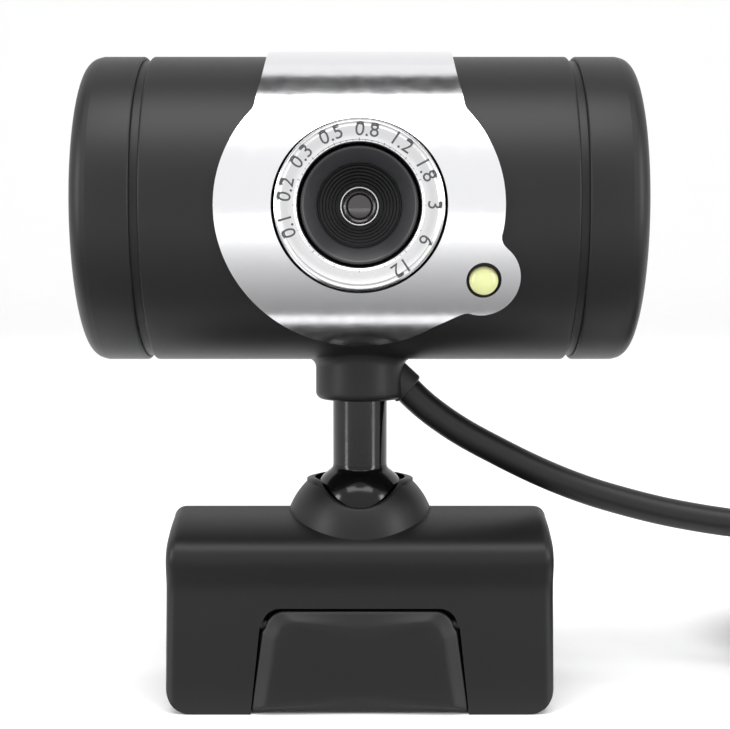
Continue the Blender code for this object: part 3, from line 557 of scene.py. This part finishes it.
def make_focus_ring():
    """The focus ring: a turned profile with a raised line at its rim, and a scale of marks and figures."""
    front, radius, bore = RING_FRONT, RING_RADIUS, 0.0066
    profile = [
        (radius - 0.0001, front - 0.0058), (radius - 0.0001, front - 0.00035), (radius - 0.00032, front),
        (radius - 0.00046, front), (radius - 0.00054, front - 0.00012), (radius - 0.0007, front - 0.00012),
        (radius - 0.00078, front - 0.00002), (bore + 0.00034, front - 0.00002),
        (bore + 0.00026, front - 0.0001),
        (bore + 0.00012, front - 0.0001), (bore, front - 0.0003), (bore, front - 0.0058),
    ]
    profile = rounded(profile, 0.00006, 3)
    ring = revolve("focus_ring_skin", profile, HEAD_CENTRE, "-Y", FINISH["ring"], 160, closed=True)
    wear(ring, "ring", "machined_ring", "focus_ring")
    face = HEAD_Y - front - 0.00001
    labels = ["0.1", "0.2", "0.3", "0.5", "0.8", "1.2", "1.8", "3", "6", "12"]
    pieces = []
    for i, text in enumerate(labels):
        angle = math.radians(196 - i * 28)
        curve = bpy.data.curves.new("figure", "FONT")
        curve.body = text
        curve.size = 0.00215
        curve.align_x, curve.align_y = "CENTER", "CENTER"
        curve.extrude = 0.00003
        figure = bpy.data.objects.new("figure", curve)
        bpy.context.scene.collection.objects.link(figure)
        mesh = bpy.data.meshes.new_from_object(figure.evaluated_get(bpy.context.evaluated_depsgraph_get()))
        bpy.data.objects.remove(figure)
        upright = Matrix.Rotation(math.radians(90), 4, "X")
        spin = Matrix.Rotation(angle - math.pi / 2, 4, "Z")
        mesh.transform(
            Matrix.Translation((0, face, AXIS_Z)) @ upright @ spin @ Matrix.Translation((0, 0.00792, 0))
        )
        pieces.append(mesh)
    ticks = []
    for i in range(64):
        angle = TAU * i / 64
        long_mark = i % 4 == 0
        ticks.append((angle, 0.00675, 0.00707 if long_mark else 0.00689))
    corners = np.array([[(-0.00003, a), (0.00003, a), (0.00003, b), (-0.00003, b)] for _, a, b in ticks])
    turn = np.array([t[0] for t in ticks])[:, None]
    across, out = corners[..., 0], corners[..., 1]
    x = out * np.cos(turn) - across * np.sin(turn)
    z = out * np.sin(turn) + across * np.cos(turn)
    points = np.stack([x, 0 * x + face - 0.00003, z + AXIS_Z], axis=-1)
    marks = mesh_object("focus_scale", points, np.arange(256).reshape(-1, 4), FINISH["ink"])
    bm = bmesh.new()
    bm.from_mesh(marks.data)
    for mesh in pieces:
        bm.from_mesh(mesh)
    bm.to_mesh(marks.data)
    bm.free()
    wear(marks, "ring", "machined_ring")


def make_lens():
    """The lens seen down its tunnel: a dull cone, black steps that stop stray light, and the coated glass."""
    front = RING_FRONT
    bezel = [
        (0.0063, front - 0.0050), (0.0063, front - 0.0006), (0.00618, front - 0.00042),
        (0.0060, front - 0.00042),
        (0.0046, front - 0.0019), (0.00455, front - 0.0022), (0.0048, front - 0.0050),
    ]
    cone = revolve("lens_bezel_skin", rounded(bezel, 0.0002, 5), HEAD_CENTRE, "-Y", FINISH["lens"], 128)
    wear(cone, "lens", "lens_black", "lens_bezel")
    steps, radius, depth = [(0.0047, front - 0.0024), (0.0044, front - 0.0023)], 0.0044, front - 0.0023
    for _ in range(6):
        radius -= 0.00013
        steps.append((radius, depth - 0.00042))
        depth -= 0.00042
        radius -= 0.00021
        steps.append((radius, depth))
    steps += [(0.0021, depth - 0.0002), (0.0021, depth - 0.0012)]
    tunnel = revolve("lens_tunnel", rounded(steps, 0.00006, 4), HEAD_CENTRE, "-Y", FINISH["tunnel"], 128)
    wear(tunnel, "lens", "lens_black", "lens_barrel")
    seat = [(0.00218, depth - 0.0001), (0.00208, depth), (0.00198, depth)]
    seat += [(0.00192, depth - 0.00012), (0.00192, depth - 0.001)]
    rim = revolve("lens_rim", rounded(seat, 0.00004, 4), HEAD_CENTRE, "-Y", FINISH["ring"], 96)
    wear(rim, "lens", "machined_ring")
    bulge = arc((0, depth - 0.0032), 0.0032, 90, 53.5, 16)
    profile = np.vstack([bulge, [(0.0019, depth - 0.0012)]])
    glass = revolve("front_glass_skin", profile, HEAD_CENTRE, "-Y", FINISH["glass"], 96)
    wear(glass, "lens", "glass", "front_glass")


def make_neck():
    """The hub under the barrel: a cylinder with a rounded foot, which flares into the barrel's underside."""
    radius, flare, foot = HUB_RADIUS, 0.0010, 0.0008
    turn = np.linspace(0, TAU, 96, endpoint=False)

    def barrel_under(away):
        """The height of the barrel's underside above each point, that far from the hub's axis."""
        return AXIS_Z - np.sqrt(np.maximum(BARREL_RADIUS**2 - (away * np.sin(turn)) ** 2, 0))

    corner = arc((radius - foot, HUB_BOTTOM + foot), foot, -90, 0, 8)
    low = np.vstack([[(0.0030, HUB_BOTTOM), (radius - foot, HUB_BOTTOM)], corner])
    rows = [np.stack([r * np.cos(turn), HEAD_Y + r * np.sin(turn), 0 * turn + z], axis=-1) for r, z in low]
    start = barrel_under(radius) - flare
    for share in np.linspace(0.15, 1, 8):
        height = (HUB_BOTTOM + foot) * (1 - share) + start * share
        rows.append(np.stack([radius * np.cos(turn), HEAD_Y + radius * np.sin(turn), height], axis=-1))
    for angle in np.radians(np.linspace(12, 90, 7)):
        away = radius + flare * (1 - math.cos(angle))
        height = barrel_under(away) - flare * (1 - math.sin(angle)) + 0.00008 * math.sin(angle)
        rows.append(np.stack([away * np.cos(turn), HEAD_Y + away * np.sin(turn), height], axis=-1))
    hub = grid("neck_hub_skin", np.array(rows), FINISH["shell"], loop_v=True)
    wear(hub, "head", "matte_black", "neck_hub")


def make_stem():
    """The polished stem and its ball: one turned profile, with a small curve where the two meet."""
    neck = math.sqrt(BALL_RADIUS**2 - STEM_RADIUS**2)
    start = math.degrees(math.atan2(neck, STEM_RADIUS)) - 3
    ball = arc((0, BALL_Z), BALL_RADIUS, start, -90, 64)
    top = HUB_BOTTOM + 0.0012
    shaft = [(0, top), (STEM_RADIUS, top), (STEM_RADIUS, BALL_Z + neck + 0.0005)]
    shaft.append((STEM_RADIUS + 0.00004, BALL_Z + neck + 0.0001))
    stem = revolve("stem_and_ball", np.vstack([shaft, ball]), FOOT, "Z", FINISH["gloss"], 96)
    stem.data.set_sharp_from_angle(angle=math.radians(50))
    wear(stem, "stem", "gloss_black", "ball_stem")


def make_dome():
    """The socket dome. Its rim dips into a notch at the front, so for each turn the rim's height is where
    the dome's curve first meets the notch's cylinder; rows run up from the base to it, and over into the
    socket."""
    turn = np.linspace(0, TAU, 241)[:-1]
    reach = np.sqrt(np.maximum(DOME_RADIUS**2 - (np.linspace(DOME_Z, RIM_Z, 400) - DOME_Z) ** 2, 0))
    height = np.linspace(DOME_Z, RIM_Z, 400)
    x = reach[:, None] * np.cos(turn)
    inside = (x**2 + (height[:, None] - 0.0290) ** 2 < 0.0059**2) & (np.sin(turn) < 0)[None]
    rim = np.where(inside.any(axis=0), height[np.argmax(inside, axis=0)], RIM_Z)
    smoothing = np.exp(-0.5 * (np.arange(-6, 7) / 2.2) ** 2)
    smoothing /= smoothing.sum()
    rim = np.convolve(np.concatenate([rim[-6:], rim, rim[:6]]), smoothing, mode="valid")
    lip = 0.0007
    rows = []
    for radius, z in ((DOME_RADIUS, 0.0168), (DOME_RADIUS + 0.0009, 0.0174), (DOME_RADIUS + 0.0003, 0.0181)):
        rows.append((radius + 0 * turn, z + 0 * turn))
    for share in np.linspace(0, 1, 20):
        z = DOME_Z * (1 - share) + (rim - 0.0002) * share
        rows.append((np.sqrt(DOME_RADIUS**2 - (z - DOME_Z) ** 2), z))
    outer = rows[-1][0]
    for away, up in ((0.00012, 0.00014), (0.00035, 0.0002), (0.00058, 0.00014)):
        rows.append((outer - away, rim - 0.0002 + up))
    for down in (0.0002, 0.0008, 0.0018, 0.0034):
        z = rim - down
        inner = np.sqrt(np.maximum(DOME_RADIUS**2 - (z - DOME_Z) ** 2, 0)) - lip
        rows.append((np.maximum(inner, BALL_RADIUS + 0.0002), z))
    points = np.stack([
        np.stack([radius * np.cos(turn), HEAD_Y + radius * np.sin(turn), z], axis=-1) for radius, z in rows
    ])
    dome = grid("socket_dome_skin", points, FINISH["shell"], loop_v=True)
    wear(dome, "base", "matte_black", "socket_dome")


# ---- the base and its clip ----


def make_base():
    """The base: a profile in y and z swept along x. Near each end the profile shrinks inwards to a rounded
    end, and a recess with a round top opens at the front for the flap."""
    half = [(0, 22.15), (5.0, 21.25), (8.5, 20.0), (9.8, 19.0), (10.3, 17.8), (10.1, 16.3), (9.6, 14.8),
            (9.6, 13.4), (9.9, 10.0), (10.4, 5.0), (10.9, 0)]
    half = softened(np.array(half) / 1000, 3)
    half = spaced(half, 56)
    profile = np.vstack([half * (-1, 1), half[::-1][:-1]])[::-1]
    top = profile[:, 1].max()
    corner = 0.0015
    bottom_corner = 0.0030
    end_round = 0.0013
    columns = []
    quarter = np.linspace(0, math.pi / 2, 9)
    shares = 1 - np.cos(quarter)
    inset = end_round * (1 - np.sin(quarter))
    xs = np.concatenate([
        -BASE_HALF + end_round * shares, np.linspace(-BASE_HALF + end_round, BASE_HALF - end_round, 70)[1:-1],
        (BASE_HALF - end_round * shares)[::-1],
    ])
    insets = np.concatenate([inset, np.zeros(68), inset[::-1]])
    for x, back in zip(xs, insets):
        edge = BASE_HALF - abs(x)
        y, z = profile[:, 0].copy(), profile[:, 1].copy()
        lift = 0.0
        if edge < bottom_corner:
            lift = bottom_corner - math.sqrt(bottom_corner**2 - (bottom_corner - edge) ** 2)
        drop = 0.0
        if edge < corner:
            drop = corner - math.sqrt(corner**2 - (corner - edge) ** 2)
        z = lift + z * (top - drop - lift) / top
        depth = np.abs(y)
        y = np.sign(y) * np.maximum(depth - back, depth * 0.2)
        columns.append(np.stack([x + 0 * y, y + HEAD_Y, z], axis=-1))
    points = np.array(columns)
    middle = points.mean(axis=1, keepdims=True)
    caps = [np.repeat(middle[i][None], points.shape[1], axis=1) for i in (0, -1)]
    shell = grid("base_shell_skin", np.concatenate([caps[0], points, caps[1]]), FINISH["shell"], loop_v=True)
    gap = 0.0003
    flap_top = 0.0108 + gap
    flap_foot = 0.0123 + gap
    corner = 0.0017 + gap
    top_z = FLAP_TOP + gap
    outline = [(-flap_foot, -0.002)]
    slope = (flap_foot - flap_top) / FLAP_TOP
    outline += [(-flap_top - slope * corner, top_z - corner)]
    outline += list(arc((-flap_top + corner, top_z - corner), corner, 180, 90, 12))
    outline += list(arc((flap_top - corner, top_z - corner), corner, 90, 0, 12))
    outline += [(flap_top + slope * corner, top_z - corner), (flap_foot, -0.002)]
    carve(shell, prism("flap_way", outline, -0.02, HEAD_Y - 0.0065))
    edge_round(shell, 0.0003, 3, 40)
    wear(shell, "base", "matte_black", "base_shell")


def make_flap():
    """The clip's flap: a trapezoid with round corners. Each ring of its front grid is the outline pulled in a
    little further, and its depth rises over a band along the edge to make the soft bevel."""
    high, foot, corner = 0.0108, 0.0123, 0.0023
    slope = (foot - high) / FLAP_TOP
    outline = [(-foot, 0.00035), (-foot + slope * 0.0004, 0.0010)]
    outline.append((-high - slope * corner, FLAP_TOP - corner))
    outline += list(arc((-high + corner, FLAP_TOP - corner), corner, 170, 90, 12))
    outline += list(arc((high - corner, FLAP_TOP - corner), corner, 90, 10, 12))
    outline += [(high + slope * corner, FLAP_TOP - corner), (foot - slope * 0.0004, 0.0010), (foot, 0.00035)]
    outline = np.array(outline)
    outline = spaced(np.vstack([outline, outline[:1]]), 241)[:-1]
    centre = np.array((0.0, 0.0052))
    front = PIN_Y - (FLAP_TOP - PIN_Z)
    band = 0.0016
    rows = []
    edge = [(0, 0.0024), (0, 0.0010), (0.00004, 0.00082), (0.00016, 0.00072), (0.0004, 0.00062)]
    bevel = [(0.0008, 0.00044), (0.0012, 0.00026), (band, 0.00008), (band + 0.0003, 0.0)]
    for inset, back in edge + bevel + [(0.0032, 0.0), (0.005, 0.0)]:
        shrink = 1 - inset / np.linalg.norm(outline - centre, axis=1)[:, None]
        ring = centre + (outline - centre) * np.maximum(shrink, 0.05)
        lean = np.maximum(PIN_Z - ring[:, 1], 0) * 0.0010 / 0.0099
        rows.append(np.stack([ring[:, 0], front - lean + back, ring[:, 1]], axis=-1))
    middle = np.repeat(rows[-1].mean(axis=0)[None], len(outline), axis=0)
    rows.append(middle)
    behind = np.repeat(rows[0].mean(axis=0)[None], len(outline), axis=0)
    points = np.concatenate([[behind], rows])
    flap = grid("clip_flap_skin", points, FINISH["shell"], loop_v=True)
    wear(flap, "flap", "matte_black", "clip_flap")


# ---- the cord ----


def cord_route():
    """The cord's path from the grommet to the plug, about 1 mm a point: the free run, the coil and the tail.
    The coil's radius and height go from stop to stop as its angle grows, with no slope at either stop."""
    seen = [(0.0050, 0.0367), (0.0077, 0.0340), (0.0118, 0.0311), (0.0163, 0.0287), (0.0211, 0.0263),
            (0.0265, 0.0241), (0.0319, 0.0225), (0.0372, 0.0212), (0.0444, 0.0200), (0.0520, 0.0193),
            (0.0590, 0.0190), (0.0660, 0.0190), (float((COIL_LOW[0] + COIL_HIGH[0]) / 2), 0.0190)]
    seen = np.array([(x, HEAD_Y, z) for x, z in seen])
    seen = spaced(softened(seen, 4), 90)
    middle = ((COIL_LOW + COIL_HIGH) / 2)[:2]
    low, high = 0.0173, 0.0207
    levels = [0.0153, 0.0119, 0.0085, 0.0051, 0.0017]
    stops = [(-math.pi / 2, 0.0190, 0.0190), (-math.pi / 2 + 1.6, low, levels[0])]
    angle, inner = -math.pi / 2 + 1.6, True
    for i, z in enumerate(levels):
        for turn in range(2):
            span = TAU * 0.86
            angle += span
            stops.append((angle, low if inner else high, z))
            last = i == 4 and turn == 1
            if not last:
                if turn == 0:
                    inner = not inner
                    nxt = z
                else:
                    nxt = levels[i + 1]
                angle += TAU * 0.14
                stops.append((angle, low if inner else high, nxt))
    leave = math.radians(225)
    end = math.ceil((angle - leave) / TAU) * TAU + leave
    stops.append((end, high, levels[-1]))
    stops = np.array(stops)
    angles = np.arange(stops[0, 0], stops[-1, 0], 0.06)
    place = np.searchsorted(stops[:, 0], angles, side="right") - 1
    share = smooth((angles - stops[place, 0]) / (stops[place + 1, 0] - stops[place, 0]))
    radius = stops[place, 1] * (1 - share) + stops[place + 1, 1] * share
    height = stops[place, 2] * (1 - share) + stops[place + 1, 2] * share
    at_tie = np.abs((angles - math.radians(130) + math.pi) % TAU - math.pi)
    height = height + 0.0007 * np.where(height < 0.0035, smooth(1 - at_tie / 0.45), 0)
    x, y = middle[0] + radius * np.cos(angles), middle[1] + radius * np.sin(angles)
    coil = np.stack([x, y, height], axis=1)
    plug_y = (PLUG_LOW[1] + PLUG_HIGH[1]) / 2
    start = PLUG_LOW[0] - 0.0090
    way = np.array((-math.sin(leave), math.cos(leave)))
    bend = coil[-1, :2] + way * (plug_y - coil[-1, 1]) / way[1]
    first = coil[-1, :2] + way * 0.002
    tail = np.array([(*first, 0.00172), (*bend, 0.00172), (start - 0.0050, plug_y, 0.0023),
                     (start - 0.0030, plug_y, 0.0034), (start - 0.0015, plug_y, 0.0039),
                     (start + 0.0005, plug_y, 0.0040)])
    tail = spaced(softened(tail, 3), 40)
    return seen, coil, tail


def make_cords():
    """Four pieces of one cord, cut at set points along it; the last rides on the base, the others stay where
    they are made. Neighbours share their ring of points at each cut, because all of them are parts of one
    long tube."""
    seen, coil, tail = cord_route()
    whole = np.vstack([seen, coil[1:], tail])
    cut_a = int(np.argmin(np.abs(seen[:, 0] - 0.0320)))
    cut_b = int(np.argmin(np.abs(seen[:, 0] - 0.0625)))
    cut_c = len(seen) + 26
    cuts = [0, cut_a, cut_b, cut_c, len(whole) - 1]
    way = np.gradient(whole, axis=0)
    way /= np.linalg.norm(way, axis=1)[:, None]
    side = np.cross(way, (0.0, 0.0, 1.0))
    side /= np.linalg.norm(side, axis=1)[:, None]
    rise = np.cross(side, way)
    turn = np.linspace(0, TAU, 20, endpoint=False)
    ring = np.cos(turn)[None, :, None] * side[:, None] + np.sin(turn)[None, :, None] * rise[:, None]
    skin = whole[:, None] + CORD_RADIUS * ring
    names = ("cord_neck", "cord_span", "cord_bend", "cord_rest")
    stands_for = (("cord_lead",), (), (), ("cord_coil", "cord_tail"))
    blends = (
        ("head", "stem", 0.0060, 0.0270), ("stem", "liner", 0.0330, 0.0600),
        ("liner", "base", 0.0630, 0.0720), None,
    )
    made = []
    for name, start, end, nodes, blend in zip(names, cuts, cuts[1:], stands_for, blends):
        part, line = skin[start : end + 1], whole[start : end + 1]
        closes = [np.repeat(line[i][None, None], 20, axis=1) for i in (0, -1)]
        piece = grid(name, np.concatenate([closes[0], part, closes[1]]), FINISH["cord"], loop_v=True)
        piece.data.set_sharp_from_angle(angle=math.radians(60))
        if blend:
            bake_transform(piece)
        else:
            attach(piece, "base")
        if nodes:
            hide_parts(*nodes)
        made.append((piece, line))
    return made


# ---- the cord's ends ----


def make_grommet():
    """The short sleeve at the hub that the cord comes out of."""
    line = np.linspace((0.0032, HEAD_Y, 0.0384), (0.0058, HEAD_Y, 0.0360), 8)
    sleeve = tube("cord_grommet_skin", line, 0.00205, FINISH["rubber"], 32)
    sleeve.data.set_sharp_from_angle(angle=math.radians(60))
    edge_round(sleeve, 0.0003, 3, 60)
    return wear(sleeve, "head", "rubber", "cord_grommet")


def make_plug():
    """The plug's ribbed strain relief and moulded body; the steel shell with its tongue is left to the
    frame's own nodes.
    """
    centre = (0, (PLUG_LOW[1] + PLUG_HIGH[1]) / 2, 0.0040)
    start = PLUG_LOW[0] - 0.0090
    profile = [(0, start), (0.0019, start)]
    for i in range(6):
        at = start + 0.0006 + i * 0.00135
        r = 0.0019 + 0.0012 * (at - start) / 0.0088
        profile += [(r, at), (r + 0.0001, at + 0.0008), (r - 0.0003, at + 0.0009), (r - 0.0003, at + 0.0012)]
    profile += [(0.0031, PLUG_LOW[0] - 0.0002), (0.0, PLUG_LOW[0] - 0.0002)]
    relief = revolve("strain_relief_skin", rounded(profile, 0.0001, 3), centre, "X", FINISH["rubber"], 64)
    wear(relief, "base", "rubber", "plug_strain_relief")
    body = block("plug_body_skin", PLUG_LOW, PLUG_HIGH, 0.0016, FINISH["rubber"])
    wear(body, "base", "rubber", "plug_body")
    return [relief, body]


def make_tie():
    """The band that holds the coil: a rounded loop round the wound cord, thin and flat."""
    _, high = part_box("cord_tie")
    middle = ((COIL_LOW + COIL_HIGH) / 2)[:2]
    angle = math.radians(130)
    inner, outer, top = 0.0155, 0.0225, float(high[2])
    width, wall = 0.0015, 0.0007
    corners = [(inner, 0.0001), (outer, 0.0001), (outer, top - wall), (inner, top - wall)]
    loop = softened(np.array(corners), 4, closed=True)
    loop = loop * 0.94 + np.array(corners).mean(axis=0) * 0.06
    out = np.sign(loop - loop.mean(axis=0)) * wall * 0.8
    rows = []
    for across, level in ((-width, 0), (-width, 1), (width, 1), (width, 0)):
        ring = loop + out * level
        x = middle[0] + ring[:, 0] * math.cos(angle) - across * math.sin(angle)
        y = middle[1] + ring[:, 0] * math.sin(angle) + across * math.cos(angle)
        rows.append(np.stack([x, y, np.clip(ring[:, 1], 0, None)], axis=-1))
    band = grid("cord_tie_skin", np.array(rows), FINISH["cord"], loop_u=True, loop_v=True)
    wear(band, "base", "rubber", "cord_tie")
    return band


# ---- the finishes of the frame's own nodes ----

NODE_FINISH = {
    "base_bottom_cover": "shell", "foot_strip_left": "rubber", "foot_strip_right": "rubber",
    "socket_cup": "nylon",
    # Painted shade: the steel hinge pin takes the dark epoxy finish so that it stays dark in the flap's gap
    "socket_screw_left": "steel", "socket_screw_right": "steel", "hinge_pin": "chip", "clip_spring": "steel",
    "plug_shell": "steel", "plug_contacts": "ring", "flap_pad": "rubber", "ball_liner": "nylon",
    "swivel_screw": "steel", "swivel_washer": "steel", "main_board": "board", "image_sensor": "glass",
    "lens_holder": "lens", "ir_filter": "glass", "usb_controller": "chip", "crystal": "steel",
    "cable_connector": "nylon", "shell_screw_left": "steel", "shell_screw_right": "steel",
    "board_screw_left": "steel", "board_screw_right": "steel", "rear_glass": "glass",
}


def finish_nodes():
    """Gives each CAD node that stays in view its finish: its real one, except the hinge pin, which takes a
    dark one as painted shade in the flap's gap.
    """
    for name, key in NODE_FINISH.items():
        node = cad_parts[name]
        if not node.material_slots:
            node.data.materials.append(FINISH[key])
        for holder in node.material_slots:
            holder.material = FINISH[key]


# ---- the studio ----


def soft_box(name, place, target, width, height, power):
    """A rectangular lamp facing a point."""
    light = bpy.data.lights.new(name, "AREA")
    light.shape = "RECTANGLE"
    light.size, light.size_y = width, height
    light.energy = power
    obj = bpy.data.objects.new(name, light)
    obj.location = place
    obj.rotation_euler = (Vector(target) - Vector(place)).to_track_quat("-Z", "Y").to_euler()
    bpy.context.scene.collection.objects.link(obj)
    return obj


def make_stage(sizes, colours):
    """The camera, a floor that curves up into a backdrop, and the lamps."""
    scene = bpy.context.scene
    lens = bpy.data.cameras.new("camera")
    lens.lens, lens.sensor_width = 77.5, 36.0
    lens.clip_start = 0.01
    camera = bpy.data.objects.new("camera", lens)
    camera.location = (0.0006, HEAD_Y - sizes.camera_distance, 0.0528)
    camera.rotation_euler = (math.radians(90 - 4.25), 0, 0)
    scene.collection.objects.link(camera)
    scene.camera = camera
    scene.view_settings.view_transform = "Standard"
    # The floor's section: flat, then a quarter circle, then upright
    section = np.vstack([[(-1.2, 0)], arc((0.9, 0.5), 0.5, -90, 0, 24), [(1.4, 2.0)]])
    across = np.linspace(-2.5, 2.5, 8)
    points = np.stack([np.broadcast_to(across, (len(section), 8)), np.repeat(section[:, :1], 8, axis=1),
                       np.repeat(section[:, 1:], 8, axis=1)], axis=-1)
    made = grained("studio_paper", tuple(colours.floor), 0.75, 0.002, 0.02, 0.01)
    floor = grid("studio_floor", points, made)
    if floor.data.polygons[0].normal.z < 0:
        floor.data.flip_normals()
    world = bpy.data.worlds.new("studio_air")
    world.use_nodes = True
    world.node_tree.nodes["Background"].inputs["Color"].default_value = (1, 1, 1, 1)
    world.node_tree.nodes["Background"].inputs["Strength"].default_value = 1.0
    scene.world = world
    target = (0, 0, 0.045)
    lamps = [
        soft_box("box_above", (0, -0.22, 0.60), target, 0.60, 0.36, 3.0),
        soft_box("strip_left", (-0.42, -0.25, 0.10), target, 0.10, 0.50, 1.5),
        soft_box("strip_right", (0.42, -0.25, 0.10), target, 0.10, 0.50, 1.5),
    ]
    # A dark card over the back of the set and a grey one on the floor before it give the plate its bands
    dark = grained("black_card", srgb("#101010"), 0.8, 0.002)
    grey, tree, shader = new_material("grey_card", srgb("#808080"), 0.8)
    spot = add_node(tree, "ShaderNodeTexCoord").outputs["Object"]
    place = add_node(tree, "ShaderNodeSeparateXYZ", Vector=spot)
    # Painted shade: the grey card runs from light far out to dark next to the object, for the floor's shade
    # before it as the plate mirrors it
    span = {"From Min": -0.22, "From Max": -0.02, "To Min": 0.9, "To Max": 0.16}
    floor_shade = add_node(tree, "ShaderNodeMapRange", span, Value=place.outputs["Y"])
    tree.links.new(floor_shade.outputs[0], shader.inputs["Base Color"])
    # Only reflections see the cards, so the floor stays plain
    for name, half, near, far, level, finish in (
        ("card_above", 0.5, -0.03, 0.125, 0.45, dark), ("card_floor", 0.3, -0.40, -0.0178, 0.0002, grey),
    ):
        corners = [[(x, near, level), (x, far, level)] for x in (-half, half)]
        card = grid(name, np.array(corners, float), finish)
        card.visible_camera = card.visible_diffuse = card.visible_shadow = False


# ---- the add-on ----


class WEBCAM_OT_stage(bpy.types.Operator):
    """Makes the finishes, camera, floor and lamps"""

    bl_idname = "webcam.stage"
    bl_label = "Finishes and stage"

    def execute(self, context):
        make_finishes(context.scene.webcam_sizes, context.scene.webcam_colours)
        make_stage(context.scene.webcam_sizes, context.scene.webcam_colours)
        finish_nodes()
        return {"FINISHED"}


class WEBCAM_OT_cord(bpy.types.Operator):
    """Makes the cord with its coil, band and plug"""

    bl_idname = "webcam.cord"
    bl_label = "Cord and plug"

    def execute(self, context):
        made = make_cords()
        plug = make_plug()
        make_tie()
        make_grommet()
        return {"FINISHED"}


class WEBCAM_OT_barrel(bpy.types.Operator):
    """Makes the barrel, its end caps and the hub under it"""

    bl_idname = "webcam.barrel"
    bl_label = "Barrel and hub"

    def execute(self, context):
        make_barrel(context.scene.webcam_sizes)
        make_neck()
        return {"FINISHED"}


class WEBCAM_OT_plate(bpy.types.Operator):
    """Makes the plated face and the status lamp"""

    bl_idname = "webcam.plate"
    bl_label = "Face plate and lamp"

    def execute(self, context):
        make_plate()
        make_lamp()
        return {"FINISHED"}


class WEBCAM_OT_lens(bpy.types.Operator):
    """Makes the focus ring with its scale, and the lens"""

    bl_idname = "webcam.lens"
    bl_label = "Focus ring and lens"

    def execute(self, context):
        make_focus_ring()
        make_lens()
        return {"FINISHED"}


class WEBCAM_OT_stand(bpy.types.Operator):
    """Makes the stem, ball and socket dome"""

    bl_idname = "webcam.stand"
    bl_label = "Stem, ball and socket"

    def execute(self, context):
        make_stem()
        make_dome()
        return {"FINISHED"}


class WEBCAM_OT_base(bpy.types.Operator):
    """Makes the base and its clip flap"""

    bl_idname = "webcam.base"
    bl_label = "Base and clip"

    def execute(self, context):
        make_base()
        make_flap()
        return {"FINISHED"}


STEPS = (
    WEBCAM_OT_stage, WEBCAM_OT_cord, WEBCAM_OT_barrel, WEBCAM_OT_plate, WEBCAM_OT_lens, WEBCAM_OT_stand,
    WEBCAM_OT_base,
)


class WEBCAM_PT_panel(bpy.types.Panel):
    """The webcam's settings and the steps that build it"""

    bl_idname = "WEBCAM_PT_panel"
    bl_label = "Webcam"
    bl_space_type = "VIEW_3D"
    bl_region_type = "UI"
    bl_category = "Webcam"

    def draw(self, context):
        for group in (context.scene.webcam_sizes, context.scene.webcam_colours):
            for key in group.bl_rna.properties.keys():
                if key not in ("rna_type", "name"):
                    self.layout.prop(group, key)
        for step in STEPS:
            self.layout.operator(step.bl_idname)


CLASSES = (WebcamSizes, WebcamColours, *STEPS, WEBCAM_PT_panel)


def register():
    for made in CLASSES:
        bpy.utils.register_class(made)
    bpy.types.Scene.webcam_sizes = bpy.props.PointerProperty(type=WebcamSizes)
    bpy.types.Scene.webcam_colours = bpy.props.PointerProperty(type=WebcamColours)


def unregister():
    del bpy.types.Scene.webcam_colours
    del bpy.types.Scene.webcam_sizes
    for made in reversed(CLASSES):
        bpy.utils.unregister_class(made)


def main():
    """Builds everything in order."""
    register()
    for step in STEPS:
        group, name = step.bl_idname.split(".")
        getattr(getattr(bpy.ops, group), name)()


if __name__ == "__main__":
    main()
